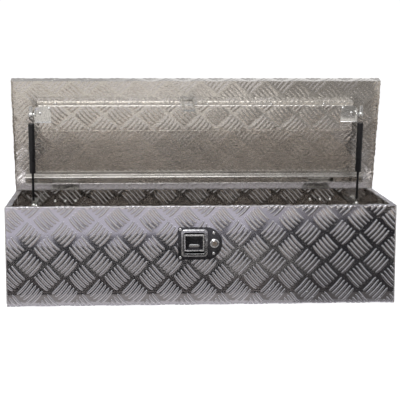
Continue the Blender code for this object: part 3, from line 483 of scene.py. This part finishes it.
def punch(bm, polygon):
    """Cut a convex hole, its corners in order."""
    corners = [Vector(corner) for corner in polygon]
    centre = sum(corners, Vector((0, 0))) / len(corners)
    margin = 0.003
    reach = max((corner - centre).length for corner in corners) + margin
    walls = []
    for a, b in zip(corners, corners[1:] + corners[:1]):
        normal = Vector((b.y - a.y, a.x - b.x)).normalized()
        if normal.dot(centre - a) > 0:
            normal.negate()
        walls.append((a, normal))
        score(bm, a, normal, (centre, reach))
    inside = [f for f in bm.faces
              if all((f.calc_center_median().xy - a).dot(normal) < 0 for a, normal in walls)]
    bmesh.ops.delete(bm, geom=inside, context="FACES")


def circle(centre, radius, sides=20):
    turns = [2 * math.pi * i / sides for i in range(sides)]
    return [(centre[0] + radius * math.cos(a), centre[1] + radius * math.sin(a)) for a in turns]


class Profile:
    """A folded sheet's section: distances along its outer face to places and outward normals."""

    def __init__(self, points, radii):
        points = [Vector(point) for point in points]
        self.runs, self.stations = [], []
        start, along = points[0], 0.0
        for before, corner, after, radius in zip(points, points[1:], points[2:], radii):
            into, out = (corner - before).normalized(), (after - corner).normalized()
            turn = into.cross(out)
            angle = math.atan2(turn, into.dot(out))
            reach = radius * math.tan(abs(angle) / 2)
            end = corner - into * reach
            length = (end - start).length
            self.runs.append((along, length, start, into, 0.0, 0.0))
            along += length
            self.runs.append((along, radius * abs(angle), end, into, radius, angle))
            steps = 4 if radius > 0.005 else 3
            self.stations += [along + radius * abs(angle) * i / steps for i in range(steps + 1)]
            along += radius * abs(angle)
            start = corner + out * reach
        way = (points[-1] - points[-2]).normalized()
        length = (points[-1] - start).length
        self.runs.append((along, length, start, way, 0.0, 0.0))
        self.length = along + length

    def __call__(self, s):
        place, normal = np.zeros((len(s), 2)), np.zeros((len(s), 2))
        for begin, length, start, way, radius, angle in self.runs:
            last = begin + length >= self.length - 1e-9
            first = begin <= 1e-9
            mask = ((s >= begin) | first) & ((s < begin + length) | last)
            local = s[mask] - begin
            right = np.array((way.y, -way.x))
            if radius == 0.0:
                place[mask] = np.array(start) + local[:, None] * np.array(way)
                normal[mask] = right
                continue
            turned = local / radius * math.copysign(1.0, angle)
            cosine, sine = np.cos(turned)[:, None], np.sin(turned)[:, None]
            normal[mask] = right * cosine + np.array((-right[1], right[0])) * sine
            centre = np.array(start) - right * radius * math.copysign(1.0, angle)
            place[mask] = centre + normal[mask] * radius * math.copysign(1.0, angle)
        return place, normal


def solid_tread(name, bm, place, thickness, rise, dent, body, slot, replaced, material, matrix=None):
    """Give a flat patterned sheet its two faces and its cut edges, and fold it into place."""
    bm.verts.index_update()
    flat = np.array([vert.co for vert in bm.verts])
    waves = bm.verts.layers.float["swell"]
    sunk = SWELL * (1.0 - np.array([[vert[waves]] for vert in bm.verts]))
    faces = [[vert.index for vert in face.verts] for face in bm.faces]
    borders = [(loop.vert.index, loop.link_loop_next.vert.index)
               for edge in bm.edges if len(edge.link_faces) == 1 for loop in edge.link_loops]
    bm.free()
    where, normal = place(flat)
    lift = flat[:, 2:3]
    outer = where + normal * (rise * (lift - 1.0) - sunk)
    inner = where + normal * (dent * lift - thickness + SWELL - sunk)
    count = len(flat)
    mesh = bpy.data.meshes.new(name)
    quads = [(b, a, a + count, b + count) for a, b in borders]
    under = [[index + count for index in reversed(face)] for face in faces]
    mesh.from_pydata(np.vstack((outer, inner)), [], faces + under + quads)
    solid = bmesh.new()
    solid.from_mesh(mesh)
    bpy.data.meshes.remove(mesh)
    piece = add_piece(name, solid, body, slot, replaced, material, 32, matrix)
    inside_wear = 0.5
    lifts = np.concatenate((lift[:, 0], lift[:, 0] * inside_wear)).astype(np.float32)
    inside = np.repeat((0.0, 1.0), count).astype(np.float32)
    for key, numbers in (("lift", lifts), ("inside", inside)):
        attribute = piece.data.attributes.new(key, "FLOAT", "POINT")
        attribute.data.foreach_set("value", numbers)
    return piece


# ---------------------------------------------------------------- box sheets
def make_body_sheets():
    low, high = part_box("body_shell")
    path = [(low.y + RIM_WIDTH, high.z), (low.y, high.z), (low.y, 0),
            (high.y, 0), (high.y, high.z), (high.y - RIM_WIDTH, high.z)]
    profile = Profile(path, (RIM_RADIUS, FOLD_RADIUS, FOLD_RADIUS, RIM_RADIUS))
    slack = RIM_RADIUS * (2 - math.pi / 2)

    def along(z):
        """How far along the sheet a height on the front wall lies."""
        return RIM_WIDTH + high.z - z - slack

    bm = flat_tread((low.x, high.x), (0.0, profile.length), (BODY_GROUP_X, along(BODY_GROUP_Z)))
    for station in profile.stations:
        score(bm, (0, station), (0, 1))
    room, lock_hole_radius = 0.002, 0.0096
    dish_low, dish_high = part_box("latch_dish")
    left, right = dish_low.x - room, dish_high.x + room
    bottom, top = along(dish_low.z - room), along(dish_high.z + room)
    punch(bm, [(left, bottom), (right, bottom), (right, top), (left, top)])
    nut_low, nut_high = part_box("lock_nut")
    lock = (nut_low + nut_high) / 2
    punch(bm, circle((lock.x, along(lock.z)), lock_hole_radius))

    def place(flat):
        section, normal = profile(flat[:, 1])
        x = flat[:, :1]
        return np.hstack((x, section)), np.hstack((np.zeros_like(x), normal))

    solid_tread("body_tread", bm, place, SHEET, SHEET_RISE, SHEET_DENT, "box", "tread_plate", ("body_shell",),
                "tread_plate")
    for side, name in ((-1, "left"), (1, "right")):
        make_end_panel(side, name)


def make_weld(name, height, radius, body, matrix):
    """A rippled bead standing along +Z from the origin."""
    ripple_pitch, ripple_depth, end_share = 0.0016, 0.06, 0.7
    steps = int(height / ripple_pitch) * 4
    bead = [(0, 0), (radius * end_share, 0)]
    for i in range(steps):
        ripple = (1 - ripple_depth) + ripple_depth * math.cos(math.pi * i / 2)
        bead.append((radius * ripple, height * (i + 1) / (steps + 1)))
    bead += [(radius * end_share, height), (0, height)]
    add_piece(name, lathe(bead, 12), body, "tread_plate", (), "bright_zinc", 50, matrix)


def make_box_welds():
    low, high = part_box("body_shell")
    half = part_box("right_end_panel")[1].x
    radius, sunk, top_gap = 0.0016, 0.0012, 0.001
    for x_name, x in (("left", -half + sunk), ("right", half - sunk)):
        for y_name, y in (("front", low.y + sunk), ("rear", high.y - sunk)):
            place = Matrix.Translation((x, y, FOLD_RADIUS))
            make_weld(f"corner_weld_{y_name}_{x_name}", high.z - FOLD_RADIUS - top_gap, radius, "box", place)


def make_end_panel(side, name):
    low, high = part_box(f"{name}_end_panel")
    outer = max(abs(low.x), abs(high.x))
    fold_radius = 0.0015
    profile = Profile([(outer, 0), (outer, high.z), (outer - RIM_WIDTH, high.z)], (fold_radius,))
    fold = profile.stations[0]
    bm = flat_tread((low.y, high.y), (0.0, profile.length), (END_GROUP[0] * side, END_GROUP[1]))
    for station in profile.stations:
        score(bm, (0, station), (0, 1))
    for edge, sign in ((low.y, -1), (high.y, 1)):
        # The lower corner follows the body's fold, and the rim flange stops short of the corner.
        centre = Vector((edge - sign * FOLD_RADIUS, FOLD_RADIUS))
        for degrees in (18, 45, 72):
            way = Vector((sign * math.cos(math.radians(degrees)), -math.sin(math.radians(degrees))))
            trim(bm, centre + way * FOLD_RADIUS, way)
        inner = edge - sign * RIM_WIDTH
        score(bm, (inner, 0), (1, 0))
        spare = [f for f in bm.faces if f.calc_center_median().y > fold and
                 (f.calc_center_median().x - inner) * sign > 0]
        bmesh.ops.delete(bm, geom=spare, context="FACES")

    def place(flat):
        section, normal = profile(flat[:, 1])
        y = flat[:, :1]
        return (np.hstack((section[:, :1] * side, y, section[:, 1:])),
                np.hstack((normal[:, :1] * side, np.zeros_like(y), normal[:, 1:])))

    solid_tread(f"{name}_end_tread", bm, place, SHEET, SHEET_RISE, SHEET_DENT, "box", "tread_plate",
                (f"{name}_end_panel",), "tread_plate")


# ---------------------------------------------------------------- lid sheets
def make_lid_pan():
    low, high = shut_box("lid_pan")
    front_drop = high.z - low.z
    across = Profile([(high.x, low.z), (high.x, high.z), (low.x, high.z), (low.x, low.z)],
                     (RIM_RADIUS, RIM_RADIUS))
    along = Profile([(high.y, high.z - LID_REAR_DROP), (high.y, high.z), (low.y, high.z),
                     (low.y, high.z - front_drop)], (RIM_RADIUS, RIM_RADIUS))
    bm = flat_tread((0.0, across.length), (0.0, along.length), LID_GROUP)
    for station in across.stations:
        score(bm, (station, 0), (1, 0))
    for station in along.stations:
        score(bm, (0, station), (0, 1))
    # Between its two folds a section is flat; what lies outside both flats is a corner and is cut away.
    flat_u, flat_v = across.stations[3:5], along.stations[3:5]
    spare = []
    for face in bm.faces:
        u, v = face.calc_center_median().xy
        if not (flat_u[0] < u < flat_u[1]) and not (flat_v[0] < v < flat_v[1]):
            spare.append(face)
    bmesh.ops.delete(bm, geom=spare, context="FACES")

    def place(flat):
        xz, normal_xz = across(flat[:, 0])
        yz, normal_yz = along(flat[:, 1])
        where = np.column_stack((xz[:, 0], yz[:, 0], xz[:, 1] + yz[:, 1] - high.z))
        side = (flat[:, 0] < flat_u[0]) | (flat[:, 0] > flat_u[1])
        normal = np.column_stack((np.zeros(len(flat)), normal_yz))
        normal[side] = np.column_stack((normal_xz[side, 0], np.zeros(side.sum()), normal_xz[side, 1]))
        return where, normal

    solid_tread("lid_tread", bm, place, SHEET, SHEET_RISE, LID_DENT, "lid", "tread_plate", ("lid_pan",),
                "lid_tread", OPEN)
    make_lid_welds(low, high)


def make_lid_welds(low, high):
    """Rippled beads that close the lid's corners, kept clear of the box inside."""
    inset = RIM_RADIUS
    radius = inset - SHEET_RISE * 0.4
    inner_allowance = 0.0002
    keep_out = inset - SHEET - inner_allowance
    steps, end, ripple_depth = 9 * 4, 0.0008, 0.035
    rear_bottom = high.z - LID_REAR_DROP
    for name, x, y, bottom in (("front_left", low.x + inset, low.y + inset, low.z),
                               ("front_right", high.x - inset, low.y + inset, low.z),
                               ("rear_left", low.x + inset, high.y - inset, rear_bottom),
                               ("rear_right", high.x - inset, high.y - inset, rear_bottom)):
        top = high.z - inset
        bead = [(0, bottom), (radius * 0.7, bottom), (radius, bottom + end)]
        for i in range(1, steps):
            ripple = (1 - ripple_depth) + ripple_depth * math.cos(math.pi * i / 2)
            bead.append((radius * ripple, bottom + end + (top - bottom - end) * i / steps))
        bead += round_arc((0, top), radius, 0, 90, 6)[:-1] + [(0, top + radius)]
        weld = lathe(bead, 20)
        x_sign, y_sign = math.copysign(1.0, x), math.copysign(1.0, y - (low.y + high.y) / 2)
        for vert in weld.verts:
            vert.co.x = x_sign * max(x_sign * vert.co.x, keep_out)
            vert.co.y = y_sign * max(y_sign * vert.co.y, keep_out)
        bmesh.ops.remove_doubles(weld, verts=weld.verts[:], dist=1e-6)
        bmesh.ops.dissolve_degenerate(weld, edges=weld.edges[:], dist=1e-6)
        add_piece(f"lid_weld_{name}", weld, "lid", "tread_plate", (), "plain_sheet", 50,
                  OPEN @ Matrix.Translation((x, y, 0)))


def make_front_stiffener():
    low, high = shut_box("front_stiffener")
    lip_z, lip_radius = high.z - STIFFENER_SHEET, 0.001
    front, rear = low.y + STIFFENER_LIP, high.y - STIFFENER_LIP
    path = [(low.y, lip_z), (front, lip_z), (front, low.z), (rear, low.z), (rear, lip_z), (high.y, lip_z)]
    profile = Profile(path, (lip_radius, RIM_RADIUS, RIM_RADIUS, lip_radius))
    bm = flat_tread((low.x, high.x), (0.0, profile.length), STIFFENER_GROUP)
    for station in profile.stations:
        score(bm, (0, station), (0, 1))

    def place(flat):
        section, normal = profile(flat[:, 1])
        fall = np.clip((lip_z - section[:, 1]) / (lip_z - low.z), 0, 1)
        x = flat[:, 0] * (1 - fall * STIFFENER_END_SLOPE / high.x)
        zeros = np.zeros(len(flat))
        return np.column_stack((x, section)), np.column_stack((zeros, normal))

    solid_tread("front_stiffener_tread", bm, place, STIFFENER_SHEET, STIFFENER_RISE, STIFFENER_DENT, "lid",
                "plain_sheet", ("front_stiffener",), "lid_tread", OPEN)
    head_radius, flatness, foot_radius, foot_z = 0.0042, 0.55, 0.0040, -0.0004
    rivet_z, proud = lip_z - 0.018, 0.0002
    for i, x in enumerate(STIFFENER_RIVETS_X):
        dome = [(0, head_radius / 2)] + round_arc((0, 0), head_radius, 75, 8, 6)
        head = lathe(dome + [(foot_radius, foot_z), (0, foot_z)], 24)
        for vert in head.verts:
            vert.co.z *= flatness
        add_piece(f"stiffener_rivet_{i + 1}", head, "lid", "zinc_steel", (), "chrome", 50,
                  OPEN @ aim((x, front + proud, rivet_z), (0, -1, 0)))


# ---------------------------------------------------------------- latch
def break_edges(piece, width):
    modifier = piece.modifiers.new("edges", "BEVEL")
    modifier.width, modifier.segments = width, 2
    modifier.limit_method, modifier.angle_limit = "ANGLE", math.radians(30)
    modifier.harden_normals = True


def make_paddle():
    """A pressed pull: a raised rim around a dark dished panel with a finger lip."""
    bm = bmesh.new()
    bm.from_mesh(frame["nodes"]["paddle"].data)
    bmesh.ops.remove_doubles(bm, verts=bm.verts[:], dist=2e-6)
    bmesh.ops.dissolve_limit(bm, angle_limit=math.radians(1.0), verts=bm.verts[:], edges=bm.edges[:])
    face_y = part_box("paddle")[0].y
    rim_width, step_width, recess, edge = 0.0040, 0.0010, 0.0014, 0.0004
    front = [f for f in bm.faces if f.normal.y < -0.99 and f.calc_center_median().y < face_y + 0.0002]
    bmesh.ops.inset_region(bm, faces=front, thickness=rim_width, depth=0.0)
    bmesh.ops.inset_region(bm, faces=front, thickness=step_width, depth=-recess)
    corners = np.array([vert.co for face in front for vert in face.verts])
    low, high = Vector(corners.min(0)), Vector(corners.max(0))
    rim = add_piece("paddle_fine", bm, "paddle", "dark_stainless", ("paddle",), "bright_zinc", 30)
    break_edges(rim, edge)
    steps, dish_depth, panel_proud, panel_sheet = 10, 0.0004, 0.0011, 0.0002
    panel = bmesh.new()
    rows = []
    for i in range(steps + 1):
        row = []
        for j in range(steps + 1):
            s, t = i / steps, j / steps
            dish = dish_depth * math.sin(math.pi * s) ** 0.5 * math.sin(math.pi * t) ** 0.5
            row.append(panel.verts.new((low.x + (high.x - low.x) * s, low.y - panel_proud + dish,
                                        low.z + (high.z - low.z) * t)))
        rows.append(row)
    faces = [panel.faces.new((rows[i][j], rows[i + 1][j], rows[i + 1][j + 1], rows[i][j + 1]))
             for i in range(steps) for j in range(steps)]
    bmesh.ops.solidify(panel, geom=faces, thickness=panel_sheet)
    add_piece("paddle_panel", panel, "paddle", "dark_stainless", (), "dark_stainless", 50)
    make_paddle_lip((low.x + high.x) / 2, low.y, low.z)


def make_paddle_lip(centre_x, panel_y, panel_z):
    """The flattened finger bar near the foot of the panel."""
    lip_radius, lip_length, flatness, proud, rise = 0.0038, 0.0200, 0.32, 0.0006, 0.0105
    lip = lathe([(0, 0)] + round_arc((0, lip_radius), lip_radius, -90, 0, 6)[1:]
                + round_arc((0, lip_radius + lip_length), lip_radius, 0, 90, 6)[:-1]
                + [(0, lip_length + 2 * lip_radius)], 24)
    for vert in lip.verts:
        vert.co.y *= flatness
    place = Matrix.Translation((centre_x - lip_radius - lip_length / 2, panel_y - proud, panel_z + rise))
    # The lip is given a lighter steel than the panel around it: a painted highlight.
    add_piece("paddle_lip", lip, "paddle", "dark_stainless", (), "lip_steel_painted_highlight", 50,
              place @ Matrix.Rotation(math.pi / 2, 4, "Y"))


def make_latch_rivets():
    """Domed heads with a punched centre, a little wider than the CAD heads."""
    widening = 1.12
    for i in range(1, 5):
        node = f"latch_rivet_{i}"
        low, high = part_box(node)
        centre = (low + high) / 2
        radius, reach = (high.x - low.x) / 2 * widening, high.y - low.y
        # (radius, height) from the punched centre over the crown and down the shank to the set tail.
        head = [(0, -0.0009), (radius * 0.30, -0.0008), (radius * 0.42, -0.0001), (radius * 0.62, -0.0002),
                (radius * 0.86, -0.0009), (radius * 0.97, -0.0017), (radius * 0.92, -0.0018),
                (radius * 0.55, -0.0019), (radius * 0.55, -reach + 0.0012), (radius * 0.8, -reach + 0.0010),
                (0, -reach)]
        rivet = lathe(head, 28)
        add_piece(f"{node}_fine", rivet, "box", "chrome", (node,), "chrome", 35,
                  aim((centre.x, low.y, centre.z), (0, -1, 0)))


def make_lock_face():
    """The barrel with a turned bezel ring around its head."""
    low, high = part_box("lock_barrel")
    centre = (low + high) / 2
    outer = (high.x - low.x) / 2
    plug_low, plug_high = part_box("lock_plug")
    inner = (plug_high.x - plug_low.x) / 2 + 0.0003
    depth = high.y - low.y
    barrel, proud = 0.0092, 0.0006
    profile = [(inner, proud), (inner + 0.0006, 0.0), (outer - 0.0030, 0.0), (outer - 0.0024, -0.0005),
               (outer - 0.0016, -0.0006), (outer - 0.0004, -0.0016), (outer, -0.0024), (outer, -0.0045),
               (barrel, -0.0045), (barrel, -depth), (inner, -depth), (inner, proud)]
    profile = [(radius, height - proud) for radius, height in profile]
    ring = lathe(profile, 48)
    add_piece("lock_barrel_fine", ring, "box", "chrome", ("lock_barrel",), "chrome", 30,
              aim((centre.x, low.y, centre.z), (0, -1, 0)))


FINE_EDGES = {"latch_plate": 0.0004, "latch_frame": 0.0003, "latch_dish": 0.0003, "latch_housing": 0.0003,
              "striker_base": 0.0003, "release_link": 0.0002, "claw": 0.0003, "pawl": 0.0003,
              "rear_stiffener": 0.0004}
for side_name in ("left", "right"):
    FINE_EDGES[f"{side_name}_strut_upper_bracket"] = 0.0003
    FINE_EDGES[f"{side_name}_strut_lower_bracket"] = 0.0003
    FINE_EDGES[f"{side_name}_hinge_body_leaf"] = 0.0002
    FINE_EDGES[f"{side_name}_hinge_lid_leaf"] = 0.0002


def refine_hardware():
    slots = {part["node"]: part["material_slot"] for part in frame["record"]["subparts"]}
    for node, bevel in FINE_EDGES.items():
        tray = node.endswith("strut_upper_bracket") or node == "striker_base"
        refine(node, slots[node], bevel, body_of(frame["nodes"][node])[0], "bright_zinc" if tray else None)
    for node, obj in frame["nodes"].items():
        if not obj.hide_render:
            obj.data.materials.clear()
            obj.data.materials.append(MATERIALS["lock_brass" if node == "lock_plug" else slots[node]])


# ---------------------------------------------------------------- stage
def make_camera():
    data = bpy.data.cameras.new("camera")
    data.lens = 106.15
    data.sensor_width = 36.0
    camera = bpy.data.objects.new("camera", data)
    bpy.context.scene.collection.objects.link(camera)
    yaw, pitch, roll = math.radians(3.33), math.radians(8.37), math.radians(0.13)
    camera.location = (-0.1785, -3.1247, 0.7108)
    forward = Vector((math.sin(yaw) * math.cos(pitch), math.cos(yaw) * math.cos(pitch), -math.sin(pitch)))
    turn = Matrix.Rotation(roll, 4, "Z").to_quaternion()
    camera.rotation_mode = "QUATERNION"
    camera.rotation_quaternion = forward.to_track_quat("-Z", "Y") @ turn
    bpy.context.scene.camera = camera


def make_card(name, corners, material, seen_by_camera):
    bm = bmesh.new()
    bm.faces.new([bm.verts.new(corner) for corner in corners])
    mesh = bpy.data.meshes.new(name)
    bm.to_mesh(mesh)
    bm.free()
    mesh.materials.append(material)
    return stage_object(name, mesh, seen_by_camera)


def stage_object(name, mesh, seen_by_camera):
    """A studio piece; one unseen by the camera shows only as a reflection."""
    card = bpy.data.objects.new(name, mesh)
    bpy.context.scene.collection.objects.link(card)
    card.visible_camera = seen_by_camera
    card.visible_shadow = seen_by_camera
    card.visible_diffuse = seen_by_camera
    return card


def add_light(name, place, target, size, power):
    data = bpy.data.lights.new(name, "AREA")
    data.shape = "RECTANGLE"
    data.size, data.size_y = size
    data.energy = power
    light = bpy.data.objects.new(name, data)
    light.location = place
    light.rotation_mode = "QUATERNION"
    light.rotation_quaternion = (Vector(target) - Vector(place)).to_track_quat("-Z", "Y")
    bpy.context.scene.collection.objects.link(light)


def make_louvres(front, start, material):
    """Low upright slats on the floor: seen edge-on from above, but closed to a grazing look."""
    # Where the slats end on the left, as (x, distance from the box's front).
    left_ends = ((-1.4, 0.90), (-0.6, 0.93), (0.0, 1.08), (0.59, 1.33), (0.83, 1.80), (1.5, 2.40))
    # Between low_from and low_to the slats are a little lower.
    low_from, low_to, low_share, right_end = 0.10, 0.36, 0.9, 1.6
    step, slope = 0.030, 0.225
    bm = bmesh.new()
    distance = start
    while distance < left_ends[-1][1]:
        left = next(x0 + (x1 - x0) * max(0.0, distance - d0) / (d1 - d0)
                    for (x0, d0), (x1, d1) in zip(left_ends, left_ends[1:]) if distance < d1)
        y = front - distance
        for begin, end, share in ((left, low_from, 1.0), (max(left, low_from), low_to, low_share),
                                  (max(left, low_to), right_end, 1.0)):
            if begin < end:
                top = step * slope * share
                corners = ((begin, LOUVRE_Z), (end, LOUVRE_Z), (end, top), (begin, top))
                bm.faces.new([bm.verts.new((x, y, z)) for x, z in corners])
        distance += step
    mesh = bpy.data.meshes.new("floor_louvres")
    bm.to_mesh(mesh)
    bm.free()
    mesh.materials.append(material)
    return stage_object("floor_louvres", mesh, False)


def make_world():
    """White behind the box; a dimmer room for everything that lights or mirrors in it."""
    world = bpy.data.worlds.new("studio")
    world.use_nodes = True
    tree = world.node_tree
    backdrop = tree.nodes["Background"]
    backdrop.inputs["Color"].default_value = (1.0, 1.0, 1.0, 1.0)
    backdrop.inputs["Strength"].default_value = 1.05
    room = tree.nodes.new("ShaderNodeBackground")
    room.inputs["Color"].default_value = (0.97, 0.97, 1.0, 1.0)
    room.inputs["Strength"].default_value = 0.42
    path, mix = tree.nodes.new("ShaderNodeLightPath"), tree.nodes.new("ShaderNodeMixShader")
    tree.links.new(path.outputs["Is Camera Ray"], mix.inputs["Fac"])
    tree.links.new(room.outputs["Background"], mix.inputs[1])
    tree.links.new(backdrop.outputs["Background"], mix.inputs[2])
    tree.links.new(mix.outputs["Shader"], tree.nodes["World Output"].inputs["Surface"])
    bpy.context.scene.world = world


def make_stage():
    bpy.context.scene.view_settings.view_transform = "Standard"
    make_world()
    reach, card_reach = 12.0, 6.0
    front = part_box("body_shell")[0].y

    def flat(x, near, far, z):
        return [(-x, near, z), (x, near, z), (x, far, z), (-x, far, z)]

    make_card("floor", flat(reach, -reach, reach, FLOOR_Z), floor_material(), True)
    # Bands of tone on the floor, by distance from the box's front, and how far each is dimmed to the right.
    louvre_start = 0.13
    bands = (("edge_card", 0.0, 0.045, (0.56, 0.54, 0.55)),
             ("grey_card", 0.045, louvre_start, (0.30, 0.28, 0.27)),
             ("taupe_card", louvre_start, 0.345, (0.40, 0.35, 0.32)),
             ("warm_card", 0.345, 0.90, (0.84, 0.80, 0.74)),
             ("lavender_card", 0.90, 1.95, (0.62, 0.60, 0.67)),
             ("far_card", 1.95, 5.0, (0.80, 0.71, 0.60)))
    spans = (("left", -2.0, 0.15, 1.0), ("middle", 0.15, 0.24, 0.70), ("right", 0.24, 2.0, 0.36))
    viewer_x, viewer_distance = -0.18, 3.0
    for name, start, end, colour in bands:
        for side, low_x, high_x, share in spans:
            corners = [(x + distance * (x - viewer_x) / viewer_distance, front - distance, CARD_Z)
                       for x, distance in ((low_x, end), (high_x, end), (high_x, start), (low_x, start))]
            tone = colour if name == "far_card" else scaled(colour, share)
            make_card(f"{name}_{side}", corners, card_material(f"{name}_{side}_tone", tone), False)
    make_card("surround_card", flat(card_reach, front, card_reach, SURROUND_Z),
              card_material("surround_tone", (0.46, 0.45, 0.47)), False)
    make_louvres(front, louvre_start, card_material("louvre_black", (0.02, 0.02, 0.022)))
    add_light("top_softbox", (-0.6, -1.2, 2.6), (0, 0, 0.2), (2.4, 1.6), 42)
    add_light("back_fill", (0.8, 2.4, 1.8), (0, 0, 0.2), (2.0, 1.4), 3.5)


make_camera()
make_body_sheets()
make_box_welds()
make_lid_pan()
make_front_stiffener()
make_paddle()
make_latch_rivets()
make_lock_face()
refine_hardware()
make_stage()
